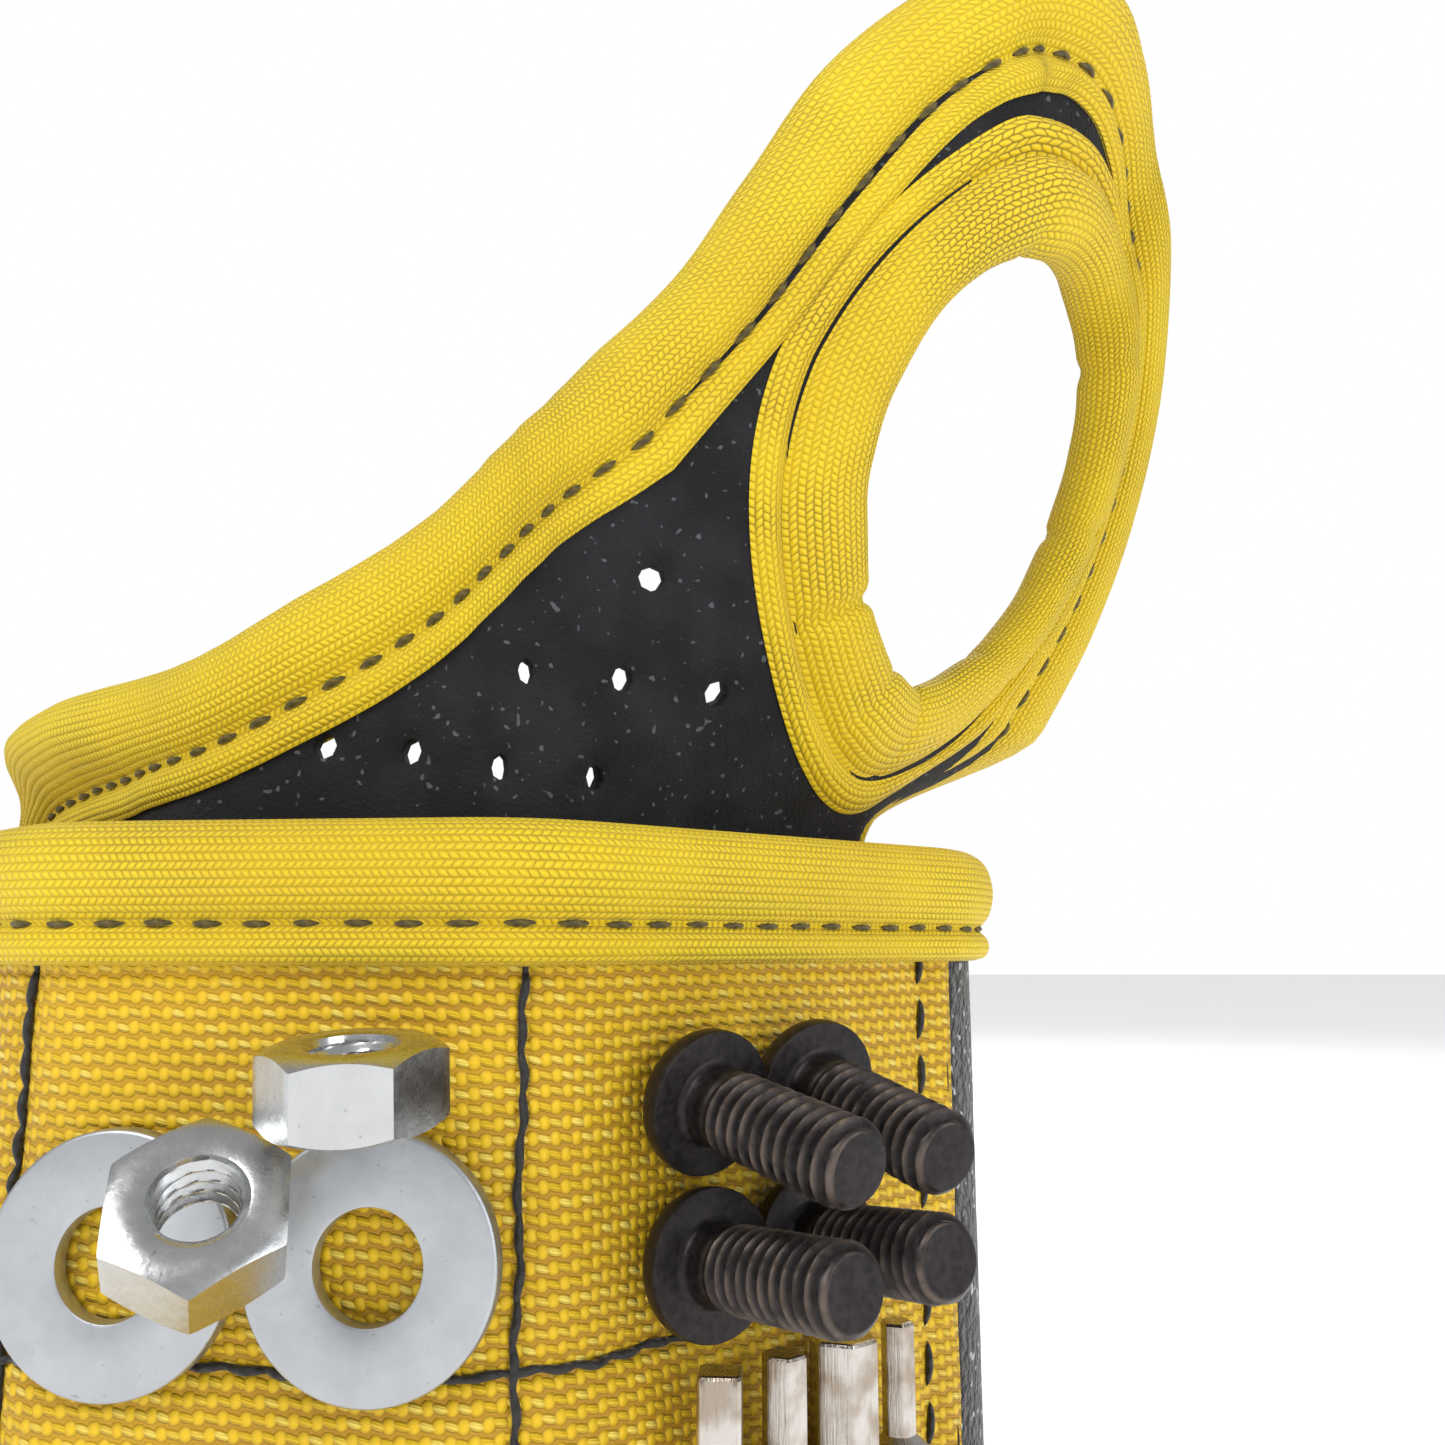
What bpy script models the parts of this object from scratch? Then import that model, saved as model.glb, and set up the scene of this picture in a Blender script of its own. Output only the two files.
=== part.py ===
"""Magnetic tool wristband with a thumb loop, worn closed and carrying loose hardware.

Metres, +Z up.  The front faces -Y and the lower binding stands on z = 0.
Distances along the band are measured on its outer face, from the seam between
the middle and the right-hand pocket columns, growing towards the right.
"""
import math

import bmesh
import bpy
from mathutils import Matrix, Vector

MM = 0.001

# Plan of the closed band: corners of its outer face as (x, y, fillet radius), in millimetres.
PLAN_CORNERS = (
    (-22.9, -39.7, 14.0),
    (15.9, -43.9, 14.0),
    (57.9, -6.7, 15.0),
    (44.0, 38.0, 30.0),
    (-40.0, 38.0, 30.0),
    (-56.0, -7.0, 16.0),
)
PLAN_CENTRE = (11.55, -7.04)
ARC_STEP = 3.0

# Band, from the ground up and from the outer face inwards (negative is inwards).
BAND_HEIGHT = 79.0
BINDING_HEIGHT = 11.0
BINDING_SKIN = 1.0
BINDING_OUT = 1.3
BINDING_IN = -8.1
FABRIC_MARGIN = 2.4
COVER = (0.0, -1.0)
PILE = (0.0, -1.4)
FOAM = (-4.1, -5.3)
PADDING = (-1.7, -5.3)
LINING = (-5.6, -6.8)
GAP = 0.3

# Stations along the band.
COVER_LEFT = -82.0
COVER_RIGHT = 48.0
FRONT_LEFT = -86.0
STRAP_END = 172.0
ARM_FREE_END = 186.0
TAB_END = 137.0
TAB_RAMP = 12.0
TAB_LIFT = 1.8
HOOK_TAPE = (0.0, 1.1)
TAB_FABRIC = (1.4, 2.8)
TAB_BINDING = (0.0, 3.9)
TAB_BORDER = 10.0

# Magnets in the sewn pockets: two rows of three.
MAGNET_SIZE = (26.0, 23.0, 2.5)
MAGNET_DEPTH = -2.55
MAGNET_COLUMNS = {"left": -59.5, "middle": -19.5, "right": 22.0}
MAGNET_ROWS = {"upper": 53.6, "lower": 25.4}

# Hand panel: a sheet that rises inside the band and flares out round the thumb hole.
PANEL_OUT = -12.3
PANEL_THICKNESS = 2.0
PANEL_FOOT = 62.0
FLARE_REACH = 50.0
FLARE_RISE = 58.0
FLARE_FROM = 81.0
FLARE_SOFTNESS = 2.0
FLARE_END = 45.0
LEFT_LEAN = 3.5
STRAIGHT_FROM = 44.0
STRAIGHT_OVER = 16.0
STRAIGHT_HEIGHTS = (82.5, 93.0)
STRAIGHT_SHARE = 0.8
PANEL_EASING = (-10.0, -5.0, 0.0, 5.0, 10.0)
ROLL_RADIUS = 3.1
ROLL_GAP = 0.35
# Middle lines of the two rolls of binding, as (station, height) in the sheet's flat pattern.
HOLE_CENTRE = (45.3, 114.5)
HOLE_ROLL_HALF = (16.2, 22.6)
PANEL_EDGE = (
    (-84.5, 64.0), (-83.5, 74.0), (-79.5, 83.0), (-72.0, 87.6), (-60.0, 89.3), (-47.0, 90.2),
    (-31.7, 92.8), (-14.4, 101.5), (0.0, 111.0), (9.5, 117.5), (17.5, 126.5), (23.0, 138.0),
    (28.0, 148.5), (34.5, 154.6), (41.5, 155.0), (48.5, 151.5), (55.0, 145.5), (61.0, 138.0),
    (66.0, 129.5), (69.5, 119.5), (71.0, 108.0), (70.5, 96.0), (69.5, 84.0), (68.8, 79.5), (68.5, 64.0),
)

# Loose hardware for a quarter-inch thread.
WASHER_RADII = (3.97, 9.32)
WASHER_THICKNESS = 1.6
NUT_FLATS = 11.1
NUT_HEIGHT = 5.56
NUT_BORE = 2.6
SCREW_RADIUS = 3.175
SCREW_HEAD_RADIUS = 5.55
SCREW_HEAD_HEIGHT = 3.35
SCREW_LENGTH = 19.25
SOCKET_FLATS = 3.97
SOCKET_DEPTH = 2.1
BIT_FLATS = 6.35
BIT_LENGTH = 25.4
BIT_SHANK = 14.5
BIT_CONE = 2.0

WASHERS = {"washer_left": (-29.4, 46.9), "washer_right": (-10.2, 47.2)}
# name: (station, height) of the head's dome, then of the threaded end
SCREWS = {
    "screw_upper_left": ((14.0, 58.0), (13.2, 54.6)),
    "screw_upper_right": ((26.0, 58.4), (22.9, 54.2)),
    "screw_lower_left": ((14.4, 45.5), (12.4, 47.0)),
    "screw_lower_right": ((26.0, 45.4), (22.4, 47.5)),
}
# name: (station, width of the tip)
BITS = {
    "bit_square": (14.7, 3.3),
    "bit_hex_small": (21.35, 3.2),
    "bit_hex_large": (28.0, 5.0),
    "bit_hex_fine": (34.65, 2.5),
}
BIT_FOOT = 12.8

YELLOW = (0.92, 0.60, 0.01)
BINDING_YELLOW = (0.92, 0.64, 0.01)
BLACK = (0.012, 0.012, 0.014)
LINING_GREY = (0.04, 0.04, 0.045)
FOAM_GREY = (0.35, 0.35, 0.36)
NICKEL = (0.62, 0.63, 0.65)
ZINC = (0.66, 0.68, 0.70)
BLACK_OXIDE = (0.03, 0.028, 0.03)
BIT_STEEL = (0.55, 0.50, 0.46)


# ---------------------------------------------------------------- the scene

def empty_scene():
    for thing in list(bpy.data.objects):
        bpy.data.objects.remove(thing)


def collection(name):
    group = bpy.data.collections.new(name)
    bpy.context.scene.collection.children.link(group)
    return group


empty_scene()
PARTS = collection("tool_wristband")
CUTTERS = collection("cutters")


def new_object(name, data, colour=None, roughness=0.8, metallic=0.0):
    """An object of the part, with its own material."""
    thing = bpy.data.objects.new(name, data)
    PARTS.objects.link(thing)
    if colour:
        material = bpy.data.materials.new(name)
        material.use_nodes = True
        shader = material.node_tree.nodes["Principled BSDF"]
        shader.inputs["Base Color"].default_value = (*colour, 1.0)
        shader.inputs["Roughness"].default_value = roughness
        shader.inputs["Metallic"].default_value = metallic
        data.materials.append(material)
    return thing


def as_cutter(thing):
    """Moves an object to the cutters, so that it shapes others and isn't part of the model."""
    PARTS.objects.unlink(thing)
    CUTTERS.objects.link(thing)
    thing.hide_render = True
    thing.display_type = "WIRE"
    return thing


def combine(thing, tool, operation="DIFFERENCE"):
    change = thing.modifiers.new(tool.name, "BOOLEAN")
    change.operation = operation
    change.object = tool


def mesh_from(name, source):
    """A welded mesh of what a curve object shows; the curve is removed."""
    bpy.context.view_layer.update()
    mesh = bpy.data.meshes.new_from_object(source.evaluated_get(bpy.context.evaluated_depsgraph_get()))
    mesh.name = name
    mesh.transform(source.matrix_world)
    bpy.data.objects.remove(source)
    shape = bmesh.new()
    shape.from_mesh(mesh)
    bmesh.ops.remove_doubles(shape, verts=shape.verts, dist=0.00001)
    shape.to_mesh(mesh)
    shape.free()
    return mesh


# ---------------------------------------------------------------- the plan line

def plan_stretches(corners):
    """Round and straight stretches of the closed line: (start, length, point, heading, radius)."""
    turns = []
    for i, (x, y, radius) in enumerate(corners):
        before = corners[i - 1]
        after = corners[(i + 1) % len(corners)]
        arriving = math.atan2(y - before[1], x - before[0])
        leaving = math.atan2(after[1] - y, after[0] - x)
        turn = (leaving - arriving + math.pi) % (2 * math.pi) - math.pi
        cut = radius * math.tan(turn / 2)
        start = (x - cut * math.cos(arriving), y - cut * math.sin(arriving))
        end = (x + cut * math.cos(leaving), y + cut * math.sin(leaving))
        turns.append((start, end, arriving, leaving, turn, radius))
    stretches = []
    reached = 0.0
    for i, (start, end, arriving, leaving, turn, radius) in enumerate(turns):
        stretches.append((reached, radius * turn, start, arriving, radius))
        reached += radius * turn
        following = turns[(i + 1) % len(turns)][0]
        length = math.dist(end, following)
        stretches.append((reached, length, end, leaving, 0.0))
        reached += length
    return stretches, reached


STRETCHES, PLAN_LENGTH = plan_stretches(PLAN_CORNERS)
SEAM_START = STRETCHES[2][0] + STRETCHES[2][1] / 2


def heading_at(station):
    """Position and heading of the outer face at a station, in millimetres and radians."""
    along = (station + SEAM_START) % PLAN_LENGTH
    for start, length, point, heading, radius in STRETCHES:
        if along <= start + length + 1e-9:
            break
    run = along - start
    if radius == 0.0:
        return point[0] + run * math.cos(heading), point[1] + run * math.sin(heading), heading
    turned = heading + run / radius
    x = point[0] + radius * (math.sin(turned) - math.sin(heading))
    y = point[1] - radius * (math.cos(turned) - math.cos(heading))
    return x, y, turned


def band_point(station, out, height=0.0):
    """A point at a station, a distance out of the outer face and a height, in metres."""
    x, y, heading = heading_at(station)
    x += out * math.sin(heading) - PLAN_CENTRE[0]
    y += -out * math.cos(heading) - PLAN_CENTRE[1]
    return Vector((x, y, height)) * MM


def stations(first, last):
    """Stations that follow the line's round stretches closely and skip over its straight ones."""
    low, high = min(first, last), max(first, last)
    chosen = [low]
    for lap in (-PLAN_LENGTH, 0.0, PLAN_LENGTH):
        for start, length, _, _, radius in STRETCHES:
            pieces = max(1, math.ceil(length / ARC_STEP)) if radius else 1
            for i in range(pieces + 1):
                station = start - SEAM_START + lap + length * i / pieces
                if low + 0.4 < station < high - 0.4 and station > chosen[-1] + 0.4:
                    chosen.append(station)
    chosen.append(high)
    return chosen if first < last else chosen[::-1]


def smooth(share):
    share = min(1.0, max(0.0, share))
    return share * share * (3 - 2 * share)


# ---------------------------------------------------------------- solids along the band

def strip(name, first, last, faces, heights, lift=None):
    """A layer of the band: an outline between two distances from the face, raised between two heights."""
    line = stations(first, last)
    raised = lift or (lambda station: 0.0)
    outer = [band_point(s, faces[0] + raised(s)) for s in line]
    inner = [band_point(s, faces[1] + raised(s)) for s in reversed(line)]
    curve = bpy.data.curves.new(name, "CURVE")
    curve.dimensions = "2D"
    curve.fill_mode = "BOTH"
    curve.extrude = (heights[1] - heights[0]) / 2 * MM
    spline = curve.splines.new("POLY")
    spline.points.add(len(outer) + len(inner) - 1)
    for point, place in zip(spline.points, outer + inner):
        point.co = (place.x, place.y, 0.0, 1.0)
    spline.use_cyclic_u = True
    source = bpy.data.objects.new(name, curve)
    bpy.context.scene.collection.objects.link(source)
    source.location.z = (heights[0] + heights[1]) / 2 * MM
    return mesh_from(name, source)


def layer(name, first, last, faces, colour, heights=None, lift=None):
    heights = heights or (FABRIC_MARGIN, BAND_HEIGHT - FABRIC_MARGIN)
    return new_object(name, strip(name, first, last, faces, heights, lift), colour)


def binding(name, first, last, low, opens_up):
    """Folded tape round the fabric's edge: a strip with a slot for the layers."""
    high = low + BINDING_HEIGHT
    tape = layer(name, first, last, (BINDING_OUT, BINDING_IN), BINDING_YELLOW, (low, high))
    slot_faces = (BINDING_OUT - BINDING_SKIN, BINDING_IN + BINDING_SKIN)
    depth = FABRIC_MARGIN - GAP
    slot_heights = (low + depth, high + 1) if opens_up else (low - 1, high - depth)
    grow = 0.9 if last > first else -0.9
    slot = strip(name + "_slot", first - grow, last + grow, slot_faces, slot_heights)
    combine(tape, as_cutter(new_object(name + "_slot", slot)))
    return tape


def make_bindings(prefix, first, last):
    upper = binding(prefix + "top_binding", first, last, BAND_HEIGHT - BINDING_HEIGHT, False)
    lower = binding(prefix + "bottom_binding", first, last, 0.0, True)
    return [upper, lower]


def make_front():
    """The fixed part of the band: magnet front, right-hand strap, lining and bindings."""
    layer("outer_cover", COVER_LEFT, COVER_RIGHT, COVER, YELLOW)
    layer("magnet_backing_foam", COVER_LEFT, COVER_RIGHT, FOAM, FOAM_GREY)
    layer("loop_pile_strap", COVER_RIGHT + GAP, STRAP_END, PILE, BLACK)
    layer("strap_padding", COVER_RIGHT + GAP, STRAP_END, PADDING, FOAM_GREY)
    layer("inner_lining", FRONT_LEFT, STRAP_END, LINING, LINING_GREY)
    make_bindings("", FRONT_LEFT, STRAP_END)


def make_magnets():
    """Flat magnets, one in each sewn pocket behind the cover."""
    for column, station in MAGNET_COLUMNS.items():
        for row, height in MAGNET_ROWS.items():
            name = f"magnet_{row}_{column}"
            shape = bmesh.new()
            bmesh.ops.create_cube(shape, size=1.0)
            wide, tall, thick = MAGNET_SIZE
            bmesh.ops.scale(shape, vec=Vector((wide, thick, tall)) * MM, verts=shape.verts)
            mesh = bpy.data.meshes.new(name)
            shape.to_mesh(mesh)
            shape.free()
            magnet = new_object(name, mesh, NICKEL, 0.35, 0.9)
            magnet.matrix_world = standing(station, MAGNET_DEPTH, height)


def hang_on(pivot_name, place, things):
    """Parents pieces to an empty on their hinge's axis."""
    pivot = bpy.data.objects.new(pivot_name, None)
    PARTS.objects.link(pivot)
    pivot.location = place
    bpy.context.view_layer.update()
    for thing in things:
        thing.parent = pivot
        thing.matrix_parent_inverse = pivot.matrix_world.inverted()


def arm_hinge():
    return band_point(FRONT_LEFT, BINDING_OUT + GAP)


def tab_hinge():
    return band_point(ARM_FREE_END, BINDING_OUT + GAP)


def make_closing_arm():
    """The left-hand strap, which swings open on the flexible fabric at its root."""
    root = PLAN_LENGTH + FRONT_LEFT - GAP
    free = ARM_FREE_END + GAP
    pieces = [
        layer("arm_fabric", root, free, PILE, BLACK),
        layer("arm_padding", root, free, PADDING, FOAM_GREY),
        layer("arm_lining", root, free, LINING, LINING_GREY),
    ]
    pieces += make_bindings("arm_", root, free)
    hang_on("closing_arm_pivot", arm_hinge(), pieces)


def tab_lift(station):
    """The tab climbs from the arm's own level on to the outside of the strap's end."""
    climb = smooth((ARM_FREE_END - station) / TAB_RAMP)
    return BINDING_IN - TAB_BINDING[0] + 0.4 + climb * (TAB_LIFT - BINDING_IN - 0.4)


def make_hook_tab():
    """The tab that closes the band: fabric, hook tape on its inner face and a bound border."""
    border = (TAB_BORDER, BAND_HEIGHT - TAB_BORDER)
    inner = (TAB_BORDER + GAP, BAND_HEIGHT - TAB_BORDER - GAP)
    end = TAB_END + TAB_BORDER
    frame = layer("tab_binding", ARM_FREE_END, TAB_END, TAB_BINDING, BINDING_YELLOW,
                  (0.0, BAND_HEIGHT), tab_lift)
    window = strip("tab_window", ARM_FREE_END + 2, end, (-2.0, 6.0), border, tab_lift)
    combine(frame, as_cutter(new_object("tab_window", window)))
    fabric = layer("tab_fabric", ARM_FREE_END, end + GAP, TAB_FABRIC, BLACK, inner, tab_lift)
    tape = layer("hook_tape", STRAP_END - 1, end + GAP, HOOK_TAPE, BLACK, inner, tab_lift)
    hang_on("hook_tab_pivot", tab_hinge(), [frame, fabric, tape])


# ---------------------------------------------------------------- the hand panel

def panel_point(station, height, out=0.0):
    """A point of the flared sheet.

    It follows the band, eased round its corners, and leans out above it.
    Past the right-hand corner the flared part runs nearly straight on.
    """
    above = height - FLARE_FROM
    above = (above + math.hypot(above, FLARE_SOFTNESS)) / 2
    lean = FLARE_REACH * (1 - math.exp(-above / FLARE_RISE))
    reach = PANEL_OUT + lean * smooth(station / FLARE_END) + out
    reach += LEFT_LEAN * smooth((height - 83.0) / 7.0) * smooth((-station - 40.0) / 20.0)
    near = [band_point(station + shift, reach, height) for shift in PANEL_EASING]
    bent = sum(near, Vector()) / len(near)
    beyond = station - STRAIGHT_FROM
    if beyond <= 0:
        return bent
    root = band_point(STRAIGHT_FROM, reach, height)
    ahead = root - band_point(STRAIGHT_FROM - 1.0, reach, height)
    low, high = STRAIGHT_HEIGHTS
    free = STRAIGHT_SHARE * smooth((height - low) / (high - low)) * smooth(beyond / STRAIGHT_OVER)
    return bent.lerp(root + ahead * beyond, free)


def curve_through(points, pieces):
    """Points of a smooth curve through a few given ones."""
    ends = [points[0], *points, points[-1]]
    made = []
    for a, b, c, d in zip(ends, ends[1:], ends[2:], ends[3:]):
        for i in range(pieces):
            t = i / pieces
            made.append(tuple(
                0.5 * (2 * q + (r - p) * t + (2 * p - 5 * q + 4 * r - s) * t * t
                       + (3 * q - p - 3 * r + s) * t ** 3)
                for p, q, r, s in zip(a, b, c, d)))
    return made + [points[-1]]


def hole_line(pieces=40, first=0.0, turn=2 * math.pi):
    """Points of the middle line of the roll round the thumb hole."""
    line = []
    for i in range(pieces):
        angle = first + turn * i / pieces
        line.append((HOLE_CENTRE[0] + HOLE_ROLL_HALF[0] * math.cos(angle),
                     HOLE_CENTRE[1] + HOLE_ROLL_HALF[1] * math.sin(angle)))
    return line


def roll(name, line, radius, closed):
    """A round roll of binding that follows a line of the pattern over the flared sheet."""
    curve = bpy.data.curves.new(name, "CURVE")
    curve.dimensions = "3D"
    curve.bevel_depth = radius * MM
    curve.bevel_resolution = 2
    curve.use_fill_caps = True
    spline = curve.splines.new("POLY")
    spline.points.add(len(line) - 1)
    for point, (station, height) in zip(spline.points, line):
        point.co = (*panel_point(station, height), 1.0)
    spline.use_cyclic_u = closed
    source = bpy.data.objects.new(name, curve)
    bpy.context.scene.collection.objects.link(source)
    return mesh_from(name, source)


def panel_outline():
    """The sheet's flat outline: up the outer edge, back round the thumb hole and along the foot."""
    edge = curve_through(PANEL_EDGE, 3)
    top = [point for point in edge if point[0] < HOLE_CENTRE[0]]
    tail = [point for point in edge if point[0] > HOLE_CENTRE[0] and point[1] < 95.0]
    hole = hole_line(24, math.radians(84), math.radians(220))
    foot = [(edge[-1][0], PANEL_FOOT), (edge[0][0], PANEL_FOOT)]
    return top + hole + tail + foot


def make_panel_sheet():
    """The sheet is cut flat, creased into narrow strips and laid over the flared shape."""
    curve = bpy.data.curves.new("hand_panel", "CURVE")
    curve.dimensions = "2D"
    curve.fill_mode = "BOTH"
    curve.extrude = PANEL_THICKNESS / 2
    outline = panel_outline()
    spline = curve.splines.new("POLY")
    spline.points.add(len(outline) - 1)
    for point, place in zip(spline.points, outline):
        point.co = (*place, 0.0, 1.0)
    spline.use_cyclic_u = True
    source = bpy.data.objects.new("hand_panel", curve)
    bpy.context.scene.collection.objects.link(source)
    mesh = mesh_from("hand_panel", source)
    shape = bmesh.new()
    shape.from_mesh(mesh)
    for station in range(-85, 76, 5):
        crease(shape, (station, 0, 0), (1, 0, 0))
    for height in (80, 86, 94, 110, 130):
        crease(shape, (0, height, 0), (0, 1, 0))
    bmesh.ops.triangulate(shape, faces=shape.faces)
    for vert in shape.verts:
        vert.co = panel_point(vert.co.x, vert.co.y, vert.co.z)
    bmesh.ops.recalc_face_normals(shape, faces=shape.faces)
    shape.to_mesh(mesh)
    shape.free()
    return new_object("hand_panel", mesh, BLACK)


def crease(shape, point, normal):
    everything = shape.verts[:] + shape.edges[:] + shape.faces[:]
    bmesh.ops.bisect_plane(shape, geom=everything, plane_co=point, plane_no=normal)


def make_hand_panel():
    """The sheet, the roll round its outer edge and the roll round the thumb hole."""
    edge = curve_through(PANEL_EDGE, 3)
    hole = hole_line()
    sheet = make_panel_sheet()
    for name, line, closed in (("hand_panel_binding", edge, False), ("thumb_hole_binding", hole, True)):
        new_object(name, roll(name, line, ROLL_RADIUS, closed), BINDING_YELLOW)
        if not closed:
            below = PANEL_FOOT - ROLL_RADIUS
            line = [(line[0][0], below), *line, (line[-1][0], below)]
        room = roll(name + "_room", line, ROLL_RADIUS + ROLL_GAP, closed)
        combine(sheet, as_cutter(new_object(name + "_room", room)))


# ---------------------------------------------------------------- loose hardware

def standing(station, out, height):
    """Placement on the band: X runs along it, Y into it and Z up."""
    heading = heading_at(station)[2]
    place = band_point(station, out, height)
    return Matrix.Translation(place) @ Matrix.Rotation(heading, 4, "Z")


def facing(station, out, height):
    """Placement on the band with Z pointing straight out of it."""
    return standing(station, out, height) @ Matrix.Rotation(math.radians(90), 4, "X")


def turned(name, profile, steps, closed, colour=None, roughness=0.4, metallic=1.0):
    """A shape turned about Z from a profile of (radius, height), listed top to bottom."""
    mesh = bpy.data.meshes.new(name)
    points = [(radius * MM, 0.0, height * MM) for radius, height in profile]
    edges = [(i, i + 1) for i in range(len(points) - 1)]
    if closed:
        edges.append((len(points) - 1, 0))
    mesh.from_pydata(points, edges, [])
    thing = new_object(name, mesh, colour, roughness, metallic)
    screw = thing.modifiers.new("turn", "SCREW")
    screw.steps = steps
    screw.render_steps = steps
    screw.use_merge_vertices = True
    screw.merge_threshold = 0.00001
    return thing


def prism(name, sides, flats, length, colour=None, roughness=0.4):
    """A straight bar of regular section, standing on its frame's origin, flats to the sides."""
    shape = bmesh.new()
    radius = flats / 2 / math.cos(math.pi / sides)
    bmesh.ops.create_cone(shape, cap_ends=True, segments=sides, radius1=radius * MM,
                          radius2=radius * MM, depth=length * MM)
    bmesh.ops.translate(shape, vec=(0, 0, length / 2 * MM), verts=shape.verts)
    mesh = bpy.data.meshes.new(name)
    shape.to_mesh(mesh)
    shape.free()
    return new_object(name, mesh, colour, roughness, 1.0)


def shaped_by(thing, tool, operation):
    """Cuts a piece with a tool that is placed with it."""
    combine(thing, as_cutter(tool), operation)
    tool.parent = thing


def make_washer(name, station, height):
    inner, outer = WASHER_RADII
    half = WASHER_THICKNESS / 2
    ring = ((outer, half), (outer, -half), (inner, -half), (inner, half))
    washer = turned(name, ring, 32, True, ZINC, 0.35)
    washer.matrix_world = facing(station, GAP + half, height)


def make_nut(name, placement):
    """A hexagon bar, chamfered at both ends and bored."""
    half = NUT_HEIGHT / 2
    nut = prism(name, 6, NUT_FLATS, NUT_HEIGHT, ZINC, 0.3)
    nut.data.transform(Matrix.Translation((0, 0, -half * MM)))
    flat = NUT_FLATS / 2
    corner = flat / math.cos(math.pi / 6) + 0.4
    outline = ((0, half + 0.01), (flat, half + 0.01), (corner, half - 0.9), (corner, 0.9 - half),
               (flat, -half - 0.01), (0, -half - 0.01))
    shaped_by(nut, turned(name + "_chamfer", outline, 24, False), "INTERSECT")
    bore = ((0, half + 1), (NUT_BORE, half + 1), (NUT_BORE, -half - 1), (0, -half - 1))
    shaped_by(nut, turned(name + "_bore", bore, 24, False), "DIFFERENCE")
    nut.matrix_world = placement


def make_nuts():
    """One nut stands on a flat on the right-hand washer, the other leans across both washers."""
    seat = 2 * GAP + WASHER_THICKNESS
    upright = standing(-9.3, seat + NUT_FLATS / 2 + 0.6, 60.2)
    turn = Matrix.Rotation(math.radians(8), 4, "X") @ Matrix.Rotation(math.radians(15), 4, "Z")
    make_nut("nut_upright", upright @ turn)
    leaning = standing(-18.8, seat + 7.3, 51.6)
    tilt = Matrix.Rotation(math.radians(24), 4, "Z") @ Matrix.Rotation(math.radians(50), 4, "X")
    make_nut("nut_leaning", leaning @ tilt)


def screw_profile():
    """Threaded end, shank, flat underside of the head, dome and flat top, end first."""
    steps = 5
    crown = 2.3
    rim = SCREW_HEAD_RADIUS
    profile = [(0, SCREW_LENGTH), (SCREW_RADIUS - 0.6, SCREW_LENGTH),
               (SCREW_RADIUS, SCREW_LENGTH - 0.6), (SCREW_RADIUS, SCREW_HEAD_HEIGHT),
               (rim, SCREW_HEAD_HEIGHT), (rim, SCREW_HEAD_HEIGHT - 0.8)]
    for i in range(1, steps + 1):
        angle = math.pi / 2 * i / steps
        radius = crown + (rim - crown) * math.cos(angle)
        profile.append((radius, (SCREW_HEAD_HEIGHT - 0.8) * (1 - math.sin(angle))))
    return profile + [(0, 0)]


def make_screw(name, head, end):
    """A button-head screw whose dome sits on the cover over a magnet."""
    start = band_point(head[0], 0.9, head[1])
    finish = band_point(end[0], 0.9 + SCREW_LENGTH, end[1])
    screw = turned(name, screw_profile(), 20, False, BLACK_OXIDE, 0.45)
    socket = prism(name + "_socket", 6, SOCKET_FLATS, SOCKET_DEPTH + 1)
    socket.data.transform(Matrix.Translation((0, 0, -MM)))
    shaped_by(screw, socket, "DIFFERENCE")
    turn = (finish - start).to_track_quat("Z", "Y").to_matrix().to_4x4()
    screw.matrix_world = Matrix.Translation(start) @ turn


def make_bit(name, station, tip):
    """A driver bit: a hexagon shank that narrows to its tip, standing against the cover."""
    mesh = bpy.data.meshes.new(name)
    shape = bmesh.new()
    radius = BIT_FLATS / math.sqrt(3)
    bmesh.ops.create_circle(shape, cap_ends=True, segments=6, radius=radius * MM)
    top = next(iter(shape.faces))
    foot = top
    narrow = tip / BIT_FLATS
    for rise, scale in ((BIT_SHANK, 1.0), (BIT_CONE, narrow), (BIT_LENGTH - BIT_SHANK - BIT_CONE, 1.0)):
        grown = bmesh.ops.extrude_face_region(shape, geom=[top])["geom"]
        corners = [item for item in grown if isinstance(item, bmesh.types.BMVert)]
        bmesh.ops.translate(shape, vec=(0, 0, rise * MM), verts=corners)
        bmesh.ops.scale(shape, vec=(scale, scale, 1.0), verts=corners)
        if top is not foot:
            shape.faces.remove(top)
        top = next(item for item in grown if isinstance(item, bmesh.types.BMFace))
    bmesh.ops.recalc_face_normals(shape, faces=shape.faces)
    shape.to_mesh(mesh)
    shape.free()
    bit = new_object(name, mesh, BIT_STEEL, 0.3, 1.0)
    bit.matrix_world = standing(station, GAP + radius, BIT_FOOT)


def make_hardware():
    for name, (station, height) in WASHERS.items():
        make_washer(name, station, height)
    make_nuts()
    for name, (head, end) in SCREWS.items():
        make_screw(name, head, end)
    for name, (station, tip) in BITS.items():
        make_bit(name, station, tip)


make_front()
make_magnets()
make_closing_arm()
make_hook_tab()
make_hand_panel()
make_hardware()
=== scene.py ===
# %% [markdown]
# A magnetic tool wristband: a padded fabric band with small magnets sewn behind its front,
# closed round the wrist with hook and loop tape, and a panel that rises over the back of the
# hand and ends in a thumb hole.  Washers, nuts, screws and driver bits cling to the front.
# The frame that is loaded here holds the plain solids and the joints.  Every soft piece gets
# a detailed stand-in of its own, and the loose hardware gets real threads and rounded edges.

# %% The frame
import math

import bmesh
import bpy
from mathutils import Matrix, Vector, noise


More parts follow.
